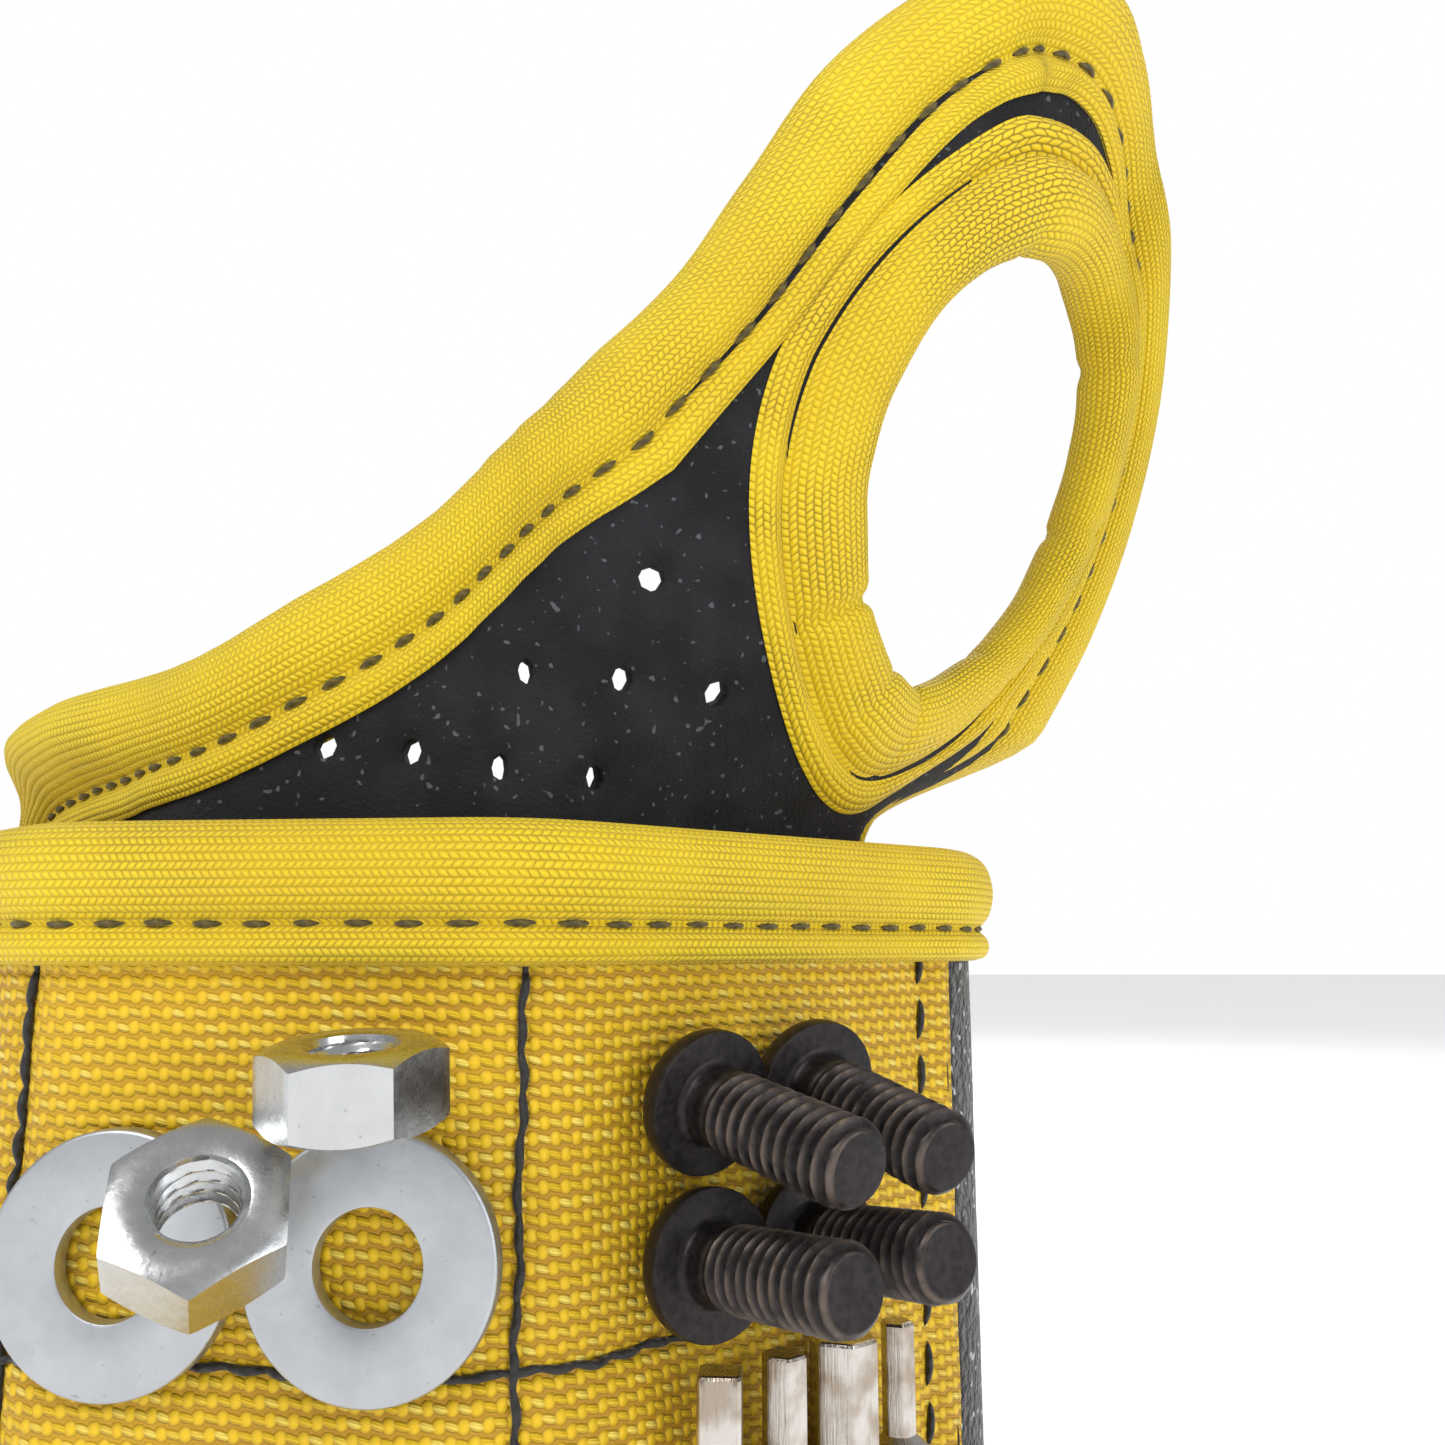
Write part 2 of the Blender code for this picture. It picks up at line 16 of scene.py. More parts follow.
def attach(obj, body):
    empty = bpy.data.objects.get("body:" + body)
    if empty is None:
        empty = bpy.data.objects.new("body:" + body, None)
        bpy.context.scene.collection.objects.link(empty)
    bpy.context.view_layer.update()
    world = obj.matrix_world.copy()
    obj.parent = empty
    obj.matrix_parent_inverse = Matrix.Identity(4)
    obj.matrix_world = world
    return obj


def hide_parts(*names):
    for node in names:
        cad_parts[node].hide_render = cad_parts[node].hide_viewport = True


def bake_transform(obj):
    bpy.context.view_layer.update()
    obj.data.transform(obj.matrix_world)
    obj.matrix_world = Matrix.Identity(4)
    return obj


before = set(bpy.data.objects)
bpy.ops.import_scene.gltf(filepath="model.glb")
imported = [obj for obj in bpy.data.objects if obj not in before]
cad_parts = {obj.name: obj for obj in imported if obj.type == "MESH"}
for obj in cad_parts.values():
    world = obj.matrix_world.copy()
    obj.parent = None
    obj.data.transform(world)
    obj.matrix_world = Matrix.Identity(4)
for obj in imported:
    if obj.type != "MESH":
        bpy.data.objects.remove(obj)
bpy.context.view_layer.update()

MM = 0.001

# %% [markdown]
# The closed band follows one line in plan: six straight or nearly straight stretches joined
# by arcs.  Everything soft is described by a distance along that line, a distance out of it
# and a height, because that is how the flat fabric is marked out before it is bent round.

# %% The band's plan
CORNERS = (
    (-22.9, -39.7, 14.0),
    (15.9, -43.9, 14.0),
    (57.9, -6.7, 15.0),
    (44.0, 38.0, 30.0),
    (-40.0, 38.0, 30.0),
    (-56.0, -7.0, 16.0),
)
CENTRE = (11.55, -7.04)


def plan_stretches(corners):
    """Round and straight stretches of the closed line: (start, length, point, heading, radius)."""
    turns = []
    for i, (x, y, radius) in enumerate(corners):
        before = corners[i - 1]
        after = corners[(i + 1) % len(corners)]
        arriving = math.atan2(y - before[1], x - before[0])
        leaving = math.atan2(after[1] - y, after[0] - x)
        turn = (leaving - arriving + math.pi) % (2 * math.pi) - math.pi
        cut = radius * math.tan(turn / 2)
        start = (x - cut * math.cos(arriving), y - cut * math.sin(arriving))
        end = (x + cut * math.cos(leaving), y + cut * math.sin(leaving))
        turns.append((start, end, arriving, leaving, turn, radius))
    found = []
    reached = 0.0
    for i, (start, end, arriving, leaving, turn, radius) in enumerate(turns):
        found.append((reached, radius * turn, start, arriving, radius))
        reached += radius * turn
        length = math.dist(end, turns[(i + 1) % len(turns)][0])
        found.append((reached, length, end, leaving, 0.0))
        reached += length
    return found, reached


STRETCHES, ROUND = plan_stretches(CORNERS)
SEAM_START = STRETCHES[2][0] + STRETCHES[2][1] / 2
print("closed length of the band in mm:", round(ROUND, 1))


def heading_at(station):
    along = (station + SEAM_START) % ROUND
    for start, length, point, heading, radius in STRETCHES:
        if along <= start + length + 1e-9:
            break
    run = along - start
    if radius == 0.0:
        return point[0] + run * math.cos(heading), point[1] + run * math.sin(heading), heading
    turned = heading + run / radius
    x = point[0] + radius * (math.sin(turned) - math.sin(heading))
    y = point[1] - radius * (math.cos(turned) - math.cos(heading))
    return x, y, turned


def band_point(station, out, height=0.0):
    x, y, heading = heading_at(station)
    x += out * math.sin(heading) - CENTRE[0]
    y += -out * math.cos(heading) - CENTRE[1]
    return Vector((x, y, height)) * MM


def smooth(share):
    share = min(1.0, max(0.0, share))
    return share * share * (3 - 2 * share)


PANEL_OUT = -12.3
FLARE = {"reach": 50.0, "rise": 58.0, "start": 81.0, "softness": 2.0, "end": 45.0}
EASING = (-10.0, -5.0, 0.0, 5.0, 10.0)
# Above the band the sheet runs straight on past the right-hand corner instead of turning with it.
STRAIGHT = {"from": 44.0, "over": 16.0, "low": 82.5, "high": 93.0, "share": 0.8}
# Above the band, the left end of the sheet leans a little further out.
LEFT_END = {"lean": 3.5, "low": 83.0, "rise": 7.0, "from": 40.0, "over": 20.0}


def panel_point(station, height, out=0.0):
    """A point of the hand panel, which follows the band and leans out above it."""
    above = height - FLARE["start"]
    above = (above + math.hypot(above, FLARE["softness"])) / 2
    lean = FLARE["reach"] * (1 - math.exp(-above / FLARE["rise"]))
    reach = PANEL_OUT + lean * smooth(station / FLARE["end"]) + out
    raised = smooth((height - LEFT_END["low"]) / LEFT_END["rise"])
    reach += LEFT_END["lean"] * raised * smooth((-station - LEFT_END["from"]) / LEFT_END["over"])
    near = [band_point(station + shift, reach, height) for shift in EASING]
    bent = sum(near, Vector()) / len(near)
    beyond = station - STRAIGHT["from"]
    if beyond <= 0:
        return bent
    root = band_point(STRAIGHT["from"], reach, height)
    ahead = root - band_point(STRAIGHT["from"] - 1.0, reach, height)
    free = smooth((height - STRAIGHT["low"]) / (STRAIGHT["high"] - STRAIGHT["low"]))
    free *= smooth(beyond / STRAIGHT["over"]) * STRAIGHT["share"]
    return bent.lerp(root + ahead * beyond, free)


# %% [markdown]
# Nearly every piece here is a sheet of grid bent into its place: a strip of cloth, a folded
# tape, a roll, a thread, a threaded bolt.  One helper makes a grid with the grid operator,
# asks a piece's own rule where each vertex goes, and writes a UV map in metres of real cloth,
# so a weave keeps its true size round every bend.

# %% Bent grids
def finish_mesh(name, shape, crease=None, merge=1e-6):
    """Merges, turns the faces out, marks sharp edges and makes the object."""
    bmesh.ops.remove_doubles(shape, verts=shape.verts, dist=merge)
    bmesh.ops.recalc_face_normals(shape, faces=shape.faces)
    for face in shape.faces:
        face.smooth = True
    if crease is not None:
        for edge in shape.edges:
            if len(edge.link_faces) == 2 and edge.calc_face_angle(0.0) > math.radians(crease):
                edge.smooth = False
    mesh = bpy.data.meshes.new(name)
    shape.to_mesh(mesh)
    shape.free()
    thing = bpy.data.objects.new(name, mesh)
    bpy.context.scene.collection.objects.link(thing)
    return thing


def bend(shape, across, along, place):
    """Adds a grid to the shape; place(a, b) gives a vertex's position and its UV."""
    before = set(shape.faces)
    made = bmesh.ops.create_grid(shape, x_segments=along, y_segments=across, size=0.5)
    cloth = shape.loops.layers.uv.get("UVMap") or shape.loops.layers.uv.new("UVMap")
    where = {}
    for vert in made["verts"]:
        a = min(1.0, max(0.0, vert.co.x + 0.5))
        b = min(1.0, max(0.0, vert.co.y + 0.5))
        point, uv = place(a, b)
        where[vert] = uv
        vert.co = point
    for face in shape.faces:
        if face not in before:
            for loop in face.loops:
                loop[cloth].uv = where[loop.vert]
    return made["verts"]


def solidify(thing, thickness, offset=-1.0):
    wall = thing.modifiers.new("thickness", "SOLIDIFY")
    wall.thickness = thickness
    wall.offset = offset
    return thing


def evenly(first, last, share):
    return first + (last - first) * share


# %% [markdown]
# Shader maths reads better as sums and products than as a drawing of nodes, so a small class
# wraps a socket and gives it the usual signs.  One method makes any other node.

# %% Shader helper
class Value:
    """A shader socket that takes part in arithmetic."""

    def __init__(self, tree, socket):
        self.tree = tree
        self.socket = socket

    def node(self, kind, settings=None, output=0, **inputs):
        made = self.tree.nodes.new(kind)
        for key, setting in (settings or {}).items():
            setattr(made, key, setting)
        for key, value in inputs.items():
            place = made.inputs[int(key[1:])] if key[0] == "_" else made.inputs[key.replace("_", " ")]
            if isinstance(value, Value):
                self.tree.links.new(value.socket, place)
            else:
                place.default_value = value
        return Value(self.tree, made.outputs[output])

    def math(self, operation, *others):
        inputs = {f"_{i}": value for i, value in enumerate((self, *others))}
        return self.node("ShaderNodeMath", {"operation": operation}, **inputs)

    def __add__(self, other):
        return self.math("ADD", other)

    __radd__ = __add__

    def __mul__(self, other):
        return self.math("MULTIPLY", other)

    __rmul__ = __mul__

    def __sub__(self, other):
        return self.math("SUBTRACT", other)

    def __rsub__(self, other):
        return (self * -1.0).math("ADD", other)

    def __truediv__(self, other):
        return self.math("DIVIDE", other)

    def between(self, low, high):
        """0 below low, 1 above high, eased in between."""
        settings = {"interpolation_type": "SMOOTHSTEP"}
        return self.node("ShaderNodeMapRange", settings, _0=self, _1=low, _2=high, _3=0.0, _4=1.0)

    def tint(self, low, high):
        """Mixes two colours, each a Value or a plain colour, by this number."""
        colours = [c if isinstance(c, Value) else (*c, 1.0) for c in (low, high)]
        return self.node("ShaderNodeMix", {"data_type": "RGBA"}, 2, _0=self, _6=colours[0], _7=colours[1])


class Finish:
    """A material with one Principled shader and the coordinates it reads."""

    def __init__(self, name, **constants):
        self.material = bpy.data.materials.new(name)
        self.material.use_nodes = True
        self.tree = self.material.node_tree
        self.shader = self.tree.nodes["Principled BSDF"]
        self.start = Value(self.tree, None)
        for key, value in constants.items():
            self.shader.inputs[key.replace("_", " ")].default_value = value

    def cloth(self):
        """The two directions of the cloth's own UV map, in millimetres."""
        uv = self.start.node("ShaderNodeUVMap", {"uv_map": "UVMap"})
        parts = self.start.node("ShaderNodeSeparateXYZ", _0=uv)
        node = parts.socket.node
        return [Value(self.tree, node.outputs[i]) * 1000.0 for i in (0, 1)]

    def place(self):
        return self.start.node("ShaderNodeTexCoord", output=3)

    def axes(self):
        node = self.start.node("ShaderNodeSeparateXYZ", _0=self.place()).socket.node
        return [Value(self.tree, node.outputs[i]) * 1000.0 for i in range(3)]

    def speckle(self, scale, detail=2.0, roughness=0.5):
        return self.start.node("ShaderNodeTexNoise", _0=self.place(), Scale=scale, Detail=detail,
                               Roughness=roughness)

    def lay(self, **links):
        """Links varying values to the shader: colour, roughness and height for the bump."""
        for key, value in links.items():
            if key == "height":
                height, distance = value
                bump = self.start.node("ShaderNodeBump", Strength=1.0, Distance=distance, Height=height)
                self.tree.links.new(bump.socket, self.shader.inputs["Normal"])
            else:
                self.tree.links.new(value.socket, self.shader.inputs[key.replace("_", " ")])
        return self.material


def combined(start, x, y, z=0.0):
    return start.node("ShaderNodeCombineXYZ", X=x, Y=y, Z=z)


def dress(thing, material, slot, body, *nodes):
    """Gives a piece its finish, the nodes it stands for and its body; the slot argument is not used."""
    thing.data.materials.clear()
    thing.data.materials.append(material)
    if nodes:
        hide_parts(*nodes)
    if body:
        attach(thing, body)
    print(thing.name, "faces", len(thing.data.polygons))
    return thing


# %% [markdown]
# The front is a coarse golden nylon with a plain basket weave.  Thick flat bundles of shiny
# filament cross each other, and each bundle that comes to the top catches the light as a pale
# slanted fleck.  Rows of bumps that are offset by half a step give that brickwork of flecks,
# and a random number for each cell makes some of them brighter.

# %% Golden nylon
def woven_nylon():
    made = Finish("golden_nylon", Roughness=0.5, Sheen_Weight=0.05)
    u, v = made.cloth()
    wobble = made.speckle(180.0, 2.0)
    u = u + (wobble - 0.5) * 0.5
    v = v + (wobble - 0.5) * 0.35
    wide, tall = 1.75, 1.12
    row = (v / tall).math("FLOOR")
    column = u / wide + row * 0.5
    cell = combined(made.start, column.math("FLOOR"), row)
    luck = made.start.node("ShaderNodeTexWhiteNoise", {"noise_dimensions": "2D"}, _0=cell)
    x = column.math("FRACT") - 0.5
    y = (v / tall).math("FRACT") - 0.5
    slant = y + x * 0.35
    weft = 1.0 - (x * x * 5.5 + slant * slant * 9.0)
    weft = weft.math("MAXIMUM", 0.0)
    x2 = (column + 0.5).math("FRACT") - 0.5
    warp = (1.0 - (x2 * x2 * 9.0 + y * y * 3.2)).math("MAXIMUM", 0.0)
    strands = (slant * 42.0).math("SINE") * 0.06
    height = weft.math("MAXIMUM", warp * 0.75) + strands * weft
    fleck = weft.between(0.25, 0.85) * luck.between(0.35, 0.95)
    worn = made.speckle(55.0, 3.0)
    # Low parts of the weave's relief are coloured darker: painted shade in the hollows between the bundles.
    deep = height.between(0.0, 0.55).tint((0.46, 0.24, 0.0), (0.80, 0.51, 0.003))
    colour = (fleck * 0.75).tint(deep, (1.0, 0.80, 0.16))
    colour = (worn.between(0.45, 0.75) * 0.35).tint(colour, (0.95, 0.60, 0.01))
    rough = 0.58 - fleck * 0.26
    return made.lay(Base_Color=colour, Roughness=rough, height=(height, 0.00042))


nylon = woven_nylon()

# %% [markdown]
# The edges are bound with an elastic knitted tape.  Its fine ribs run along the tape, and in
# each rib a chain of small loops leans to one side and the next to the other.  The gaps between
# loops carry painted shade, more where the tape is stretched over a roll and the gaps open.

# %% Knitted binding tape
def knitted_tape(name, stretched):
    made = Finish(name, Roughness=0.62, Sheen_Weight=0.08)
    u, v = made.cloth()
    rib = v / 0.66
    side = (rib * 0.5).math("FLOOR") * 2.0
    odd = rib.math("FLOOR") - side
    across = rib.math("FRACT") - 0.5
    lean = across * (odd * 2.0 - 1.0) * 0.45
    loop = (u / 0.62 + lean + odd * 0.5).math("FRACT") - 0.5
    ridge = 1.0 - across * across * 3.6
    knot = 1.0 - loop * loop * 3.4
    height = ridge * knot
    gap_shade = 1.0 - height.between(0.12, 0.55)
    patch = made.speckle(95.0, 2.0).between(0.38, 0.70)
    soft = made.speckle(38.0, 2.0)
    base = soft.between(0.35, 0.70).tint((0.80, 0.56, 0.002), (0.88, 0.65, 0.004))
    # The gaps between loops are mixed toward dark brown: painted shade, stronger on the stretched tape.
    colour = (gap_shade * (0.30 + patch * stretched)).tint(base, (0.30, 0.20, 0.003))
    rough = 0.55 + gap_shade * 0.25
    return made.lay(Base_Color=colour, Roughness=rough, height=(height, 0.00022))


tape = knitted_tape("binding_tape", 0.35)
stretched_tape = knitted_tape("stretched_tape", 0.75)

# %% [markdown]
# The black fabrics differ by their pile.  The hand panel is a short velour with stray bright
# fibres, the strap is a rough field of nylon loops, and the lining is a spacer mesh with
# rows of round eyelets.  Fine noise carries the pile, and a mask of rare points the sparkle.

# %% Black fabrics
def velour():
    made = Finish("panel_velour", Roughness=0.95, Sheen_Weight=0.06, Sheen_Roughness=0.4)
    pile = made.speckle(2600.0, 2.0, 0.6)
    lint = made.speckle(1500.0, 0.0)
    cloud = made.speckle(160.0, 3.0)
    colour = cloud.between(0.35, 0.75).tint((0.004, 0.004, 0.006), (0.013, 0.013, 0.017))
    colour = (lint.between(0.74, 0.80) * 0.5).tint(colour, (0.16, 0.17, 0.19))
    return made.lay(Base_Color=colour, height=(pile, 0.00025))


def loop_pile():
    made = Finish("loop_pile", Roughness=0.8, Sheen_Weight=0.4)
    loops = made.start.node("ShaderNodeTexVoronoi", {"feature": "F1"}, _0=made.place(), Scale=900.0)
    pile = made.speckle(1300.0, 2.0, 0.7)
    glint = made.speckle(1100.0, 0.0)
    colour = pile.between(0.35, 0.75).tint((0.006, 0.006, 0.007), (0.03, 0.03, 0.034))
    colour = (glint.between(0.68, 0.76) * 0.8).tint(colour, (0.55, 0.56, 0.58))
    rough = 0.85 - glint.between(0.66, 0.76) * 0.5
    return made.lay(Base_Color=colour, Roughness=rough, height=(pile - loops * 0.8, 0.0005))


def spacer_mesh():
    made = Finish("lining_mesh", Roughness=0.85, Sheen_Weight=0.3)
    u, v = made.cloth()
    row = (v / 1.3).math("FLOOR")
    x = (u / 1.9 + row * 0.5).math("FRACT") - 0.5
    y = (v / 1.3).math("FRACT") - 0.5
    reach = (x * x * 3.6 + y * y * 1.7).math("SQRT")
    wall = reach.between(0.28, 0.50)
    yarn = made.speckle(1800.0, 2.0)
    # The eyelet holes are coloured darker than the mesh walls: painted shade inside the holes.
    colour = wall.tint((0.004, 0.004, 0.005), (0.035, 0.035, 0.04))
    return made.lay(Base_Color=colour, height=(wall + yarn * 0.25, 0.0005))


def foam():
    made = Finish("grey_foam", Roughness=0.95)
    cells = made.start.node("ShaderNodeTexVoronoi", {"feature": "F1"}, _0=made.place(), Scale=1400.0)
    # The foam is coloured darker in the pits of its cells: painted shade in the pores.
    colour = cells.between(0.1, 0.7).tint((0.20, 0.20, 0.21), (0.40, 0.40, 0.41))
    return made.lay(Base_Color=colour, height=(cells, 0.0003))


def thread(name, colour):
    made = Finish(name, Roughness=0.55, Sheen_Weight=0.2)
    u, v = made.cloth()
    twist = ((u * 5.5 + v * 3.0).math("SINE") + 1.0) * 0.5
    # The grooves of the twist get the thread's colour darkened to 0.45: painted shade.
    twist_shade_colour = tuple(c * 0.45 for c in colour)
    return made.lay(Base_Color=twist.tint(twist_shade_colour, colour), height=(twist, 0.0001))


panel_velour = velour()
strap_pile = loop_pile()
lining_mesh = spacer_mesh()
grey_foam = foam()
black_thread = thread("black_thread", (0.010, 0.010, 0.011))
# The tape stitches are dark olive-brown: partly dark thread, partly painted shadow in the needle holes
# along the grooves.
stitch_thread_and_shadow = thread("stitch_thread_and_shadow", (0.105, 0.075, 0.006))

# %% [markdown]
# Four metals: zinc plate with its fine crystal mottling, black oxide that turns brown on the
# crests of a thread, partly rubbed wear and partly a painted highlight, bright tool steel with
# long drawn marks, and nickel on the magnets inside.  The thread's crests are known while the
# bolt is made, so they are kept as an attribute and the finish reads them.

# %% Metals
def zinc_plate(name, colour, rough):
    made = Finish(name, Metallic=1.0)
    grain = made.speckle(900.0, 4.0, 0.6)
    cloud = made.speckle(260.0, 3.0)
    pits = made.speckle(1900.0, 1.0)
    light = tuple(min(1.0, c * 1.12) for c in colour)
    tone = cloud.between(0.30, 0.72).tint(colour, light)
    tone = (pits.between(0.72, 0.80) * 0.5).tint(tone, (0.25, 0.25, 0.27))
    return made.lay(Base_Color=tone, Roughness=rough + grain * 0.22, height=(grain, 0.00003))


def black_oxide():
    made = Finish("black_oxide", Metallic=0.75)
    crest = made.start.node("ShaderNodeAttribute", {"attribute_name": "crest"}, 2)
    grain = made.speckle(1500.0, 3.0)
    crest_rub_and_highlight = made.speckle(420.0, 3.0)
    # The thread crests are mixed toward brown: partly rubbed wear, partly a painted highlight on the
    # crests.
    worn = crest * crest_rub_and_highlight.between(0.30, 0.62)
    tone = grain.between(0.3, 0.7).tint((0.018, 0.015, 0.016), (0.034, 0.029, 0.030))
    tone = (worn * 0.75).tint(tone, (0.17, 0.135, 0.115))
    return made.lay(Base_Color=tone, Roughness=0.30 + grain * 0.25, height=(grain, 0.00003))


def tool_steel():
    made = Finish("tool_steel", Metallic=1.0)
    x, y, z = made.axes()
    marks = made.start.node("ShaderNodeTexNoise", _0=combined(made.start, x * 6.0, y * 6.0, z * 0.35),
                            Scale=1.0, Detail=3.0)
    cloud = made.speckle(330.0, 3.0)
    tone = cloud.between(0.35, 0.65).tint((0.38, 0.32, 0.26), (0.60, 0.57, 0.54))
    tone = (marks.between(0.58, 0.75) * 0.5).tint(tone, (0.24, 0.17, 0.10))
    return made.lay(Base_Color=tone, Roughness=0.16 + marks * 0.22, height=(marks, 0.00004))


def nickel():
    made = Finish("magnet_nickel", Metallic=1.0)
    cloud = made.speckle(300.0, 3.0)
    tone = cloud.between(0.3, 0.7).tint((0.55, 0.56, 0.58), (0.70, 0.71, 0.73))
    return made.lay(Base_Color=tone, Roughness=0.2 + cloud * 0.2)


washer_zinc = zinc_plate("washer_zinc", (0.46, 0.48, 0.51), 0.34)
nut_zinc = zinc_plate("nut_zinc", (0.50, 0.51, 0.52), 0.16)
screw_black = black_oxide()
bit_steel = tool_steel()
magnet_nickel = nickel()
print("finishes made")

# %% [markdown]
# The cover is one sheet of nylon quilted into pockets, one for each magnet.  The seams pull
# it in and the foam pushes it out between them, so its height above the band dips sharply
# at a seam and recovers over a few millimetres.

# %% The quilted cover
BAND_HEIGHT = 79.0
FABRIC_MARGIN = 2.4
COVER_LEFT = -82.0
COVER_RIGHT = 48.0
SEAM_HEIGHT = 39.5
SEAMS = (-39.6, 0.0)
STITCH_STATION = 44.0


def cover_out(station, height):
    """How far the cover stands out of the band's plain line, in millimetres."""
    near = min(abs(station - seam) for seam in (*SEAMS, STITCH_STATION))
    if station < STITCH_STATION:
        near = min(near, math.hypot(abs(height - SEAM_HEIGHT), 0.01))
    dip = 0.75 * math.exp(-near / 1.4) + 0.25 * math.exp(-near / 5.0)
    ripple = noise.noise(Vector((station * 0.16, height * 0.16, 3.1))) * 0.12
    return 0.1 - dip + ripple


def make_cover():
    shape = bmesh.new()
    top = BAND_HEIGHT - FABRIC_MARGIN

    def place(a, b):
        station = evenly(COVER_LEFT, COVER_RIGHT, a)
        height = evenly(FABRIC_MARGIN, top, b)
        return band_point(station, cover_out(station, height), height), (station * MM, height * MM)

    bend(shape, 90, 156, place)
    thing = solidify(finish_mesh("quilted_cover", shape), 0.0008)
    return dress(thing, nylon, "yellow_nylon", "wristband", "outer_cover")


quilted_cover = make_cover()

# %% [markdown]
# Loop pile, lining and the flaps of the closure are plain strips of cloth at their own depth.
# A little noise keeps them from looking like sheet metal.

# %% Strips of cloth
STRAP_END = 172.0
FRONT_LEFT = -86.0
ARM_ROOT = ROUND + FRONT_LEFT
ARM_FREE_END = 186.0
TAB_END = 137.0
TAB_RAMP = 12.0
TAB_LIFT = 1.8
BINDING_IN = -8.1


def tab_lift(station):
    """The closing tab climbs from the arm's own level on to the outside of the strap."""
    climb = smooth((ARM_FREE_END - station) / TAB_RAMP)
    return BINDING_IN + 0.4 + climb * (TAB_LIFT - BINDING_IN - 0.4)


def cloth_strip(name, first, last, out, heights, thick, finish, slot, body, node, lift=None, rough=0.08):
    """A strip of cloth whose outer face lies at a distance out of the band's line."""
    shape = bmesh.new()
    steps = max(4, round(abs(last - first) / 1.4))
    rows = max(4, round((heights[1] - heights[0]) / 2.0))

    def place(a, b):
        station = evenly(first, last, a)
        height = evenly(heights[0], heights[1], b)
        raised = lift(station) if lift else 0.0
        ripple = noise.noise(Vector((station * 0.2, height * 0.2, out))) * rough
        point = band_point(station, out + raised + ripple, height)
        return point, (station * MM, height * MM)

    bend(shape, rows, steps, place)
    bmesh.ops.recalc_face_normals(shape, faces=shape.faces)
    thing = solidify(finish_mesh(name, shape), thick * MM)
    dress(thing, finish, slot, body, node)
    return thing


INNER = (FABRIC_MARGIN, BAND_HEIGHT - FABRIC_MARGIN)
TAB_INNER = (10.3, BAND_HEIGHT - 10.3)
strap_loops = cloth_strip("strap_loops", COVER_RIGHT - 0.6, STRAP_END, -0.15, INNER, 1.2, strap_pile,
                          "loop_pile", "wristband", "loop_pile_strap")
wrist_lining = cloth_strip("wrist_lining", FRONT_LEFT, STRAP_END, -5.7, INNER, 1.0, lining_mesh,
                           "lining_mesh", "wristband", "inner_lining")
arm_loops = cloth_strip("arm_loops", ARM_ROOT + 4.0, ARM_FREE_END, -0.15, INNER, 1.2, strap_pile,
                        "loop_pile", None, "arm_fabric")
arm_inside = cloth_strip("arm_inside", ARM_ROOT, ARM_FREE_END, -5.7, INNER, 1.0, lining_mesh,
                         "lining_mesh", None, "arm_lining")
tab_loops = cloth_strip("tab_loops", ARM_FREE_END, TAB_END + 10.0, 2.8, TAB_INNER, 1.2, strap_pile,
                        "loop_pile", None, "tab_fabric", tab_lift)

# %% [markdown]
# Foam lies between the two faces of the band.  Each pad is a closed slab with a full, rounded
# edge, made from a closed ring that is drawn along the band and thins out at its two ends.

# %% Foam pads
def foam_pad(name, first, last, faces, body, node):
    shape = bmesh.new()
    middle = (faces[0] + faces[1]) / 2
    half = (faces[0] - faces[1]) / 2
    low, high = INNER
    steps = max(8, round(abs(last - first) / 2.5))

    def place(a, b):
        angle = 2 * math.pi * b
        side = math.copysign(abs(math.cos(angle)) ** 0.35, math.cos(angle))
        rise = math.copysign(abs(math.sin(angle)) ** 0.2, math.sin(angle))
        station = evenly(first, last, a)
        end = min(1.0, min(abs(station - first), abs(station - last)) / 3.0)
        out = middle + half * side * math.sqrt(end)
        height = (low + high) / 2 + (high - low) / 2 * rise
        return band_point(station, out, height), (station * MM, height * MM)

    bend(shape, 48, steps, place)
    thing = dress(finish_mesh(name, shape), grey_foam, "foam", body, node)
    return thing


foam_pad("front_foam", COVER_LEFT, COVER_RIGHT, (-4.2, -5.2), "wristband", "magnet_backing_foam")
foam_pad("strap_foam", COVER_RIGHT + 0.6, STRAP_END - 0.5, (-1.9, -5.2), "wristband", "strap_padding")
foam_pad("arm_foam", ARM_ROOT - 9.0, ARM_FREE_END + 0.5, (-1.9, -5.2), "closing_arm", "arm_padding")

# %% [markdown]
# The binding of the band is one folded tape.  Its section has a full roll over the edge, a
# groove where the stitches pull it in, and a rounded lip below them.  The section is given by
# a few points and smoothed, then drawn along the band.  The lower binding is the same
# section upside down.

# %% Folded bindings
BINDING_SECTION = (
    (0.25, 10.8), (0.9, 11.0), (1.6, 10.7), (1.95, 9.9), (1.75, 9.0), (1.1, 8.35),
    (0.9, 8.0), (1.3, 7.6), (2.1, 6.6), (2.55, 5.0), (2.55, 3.6), (2.1, 2.0),
    (1.1, 0.8), (-0.6, 0.12), (-3.4, 0.0), (-6.2, 0.15), (-7.6, 0.9), (-8.3, 2.2),
    (-8.5, 3.6), (-8.5, 5.0), (-8.3, 6.6), (-7.9, 7.6), (-7.7, 8.0), (-7.8, 8.35),
    (-8.2, 9.0), (-8.4, 9.9), (-8.2, 10.7), (-7.8, 11.0), (-7.0, 10.8), (-7.0, 7.0),
    (-6.6, 2.9), (-3.4, 2.2), (-0.2, 2.9), (0.25, 7.0),
)
GROOVE_DROP = 8.0


def closed_curve(points, pieces):
    """Points of a smooth closed curve through the given ones."""
    made = []
    count = len(points)
    for i in range(count):
        corners = [points[(i + shift) % count] for shift in (-1, 0, 1, 2)]
        for j in range(pieces):
            made.append(spline_point(corners, j / pieces))
    return made


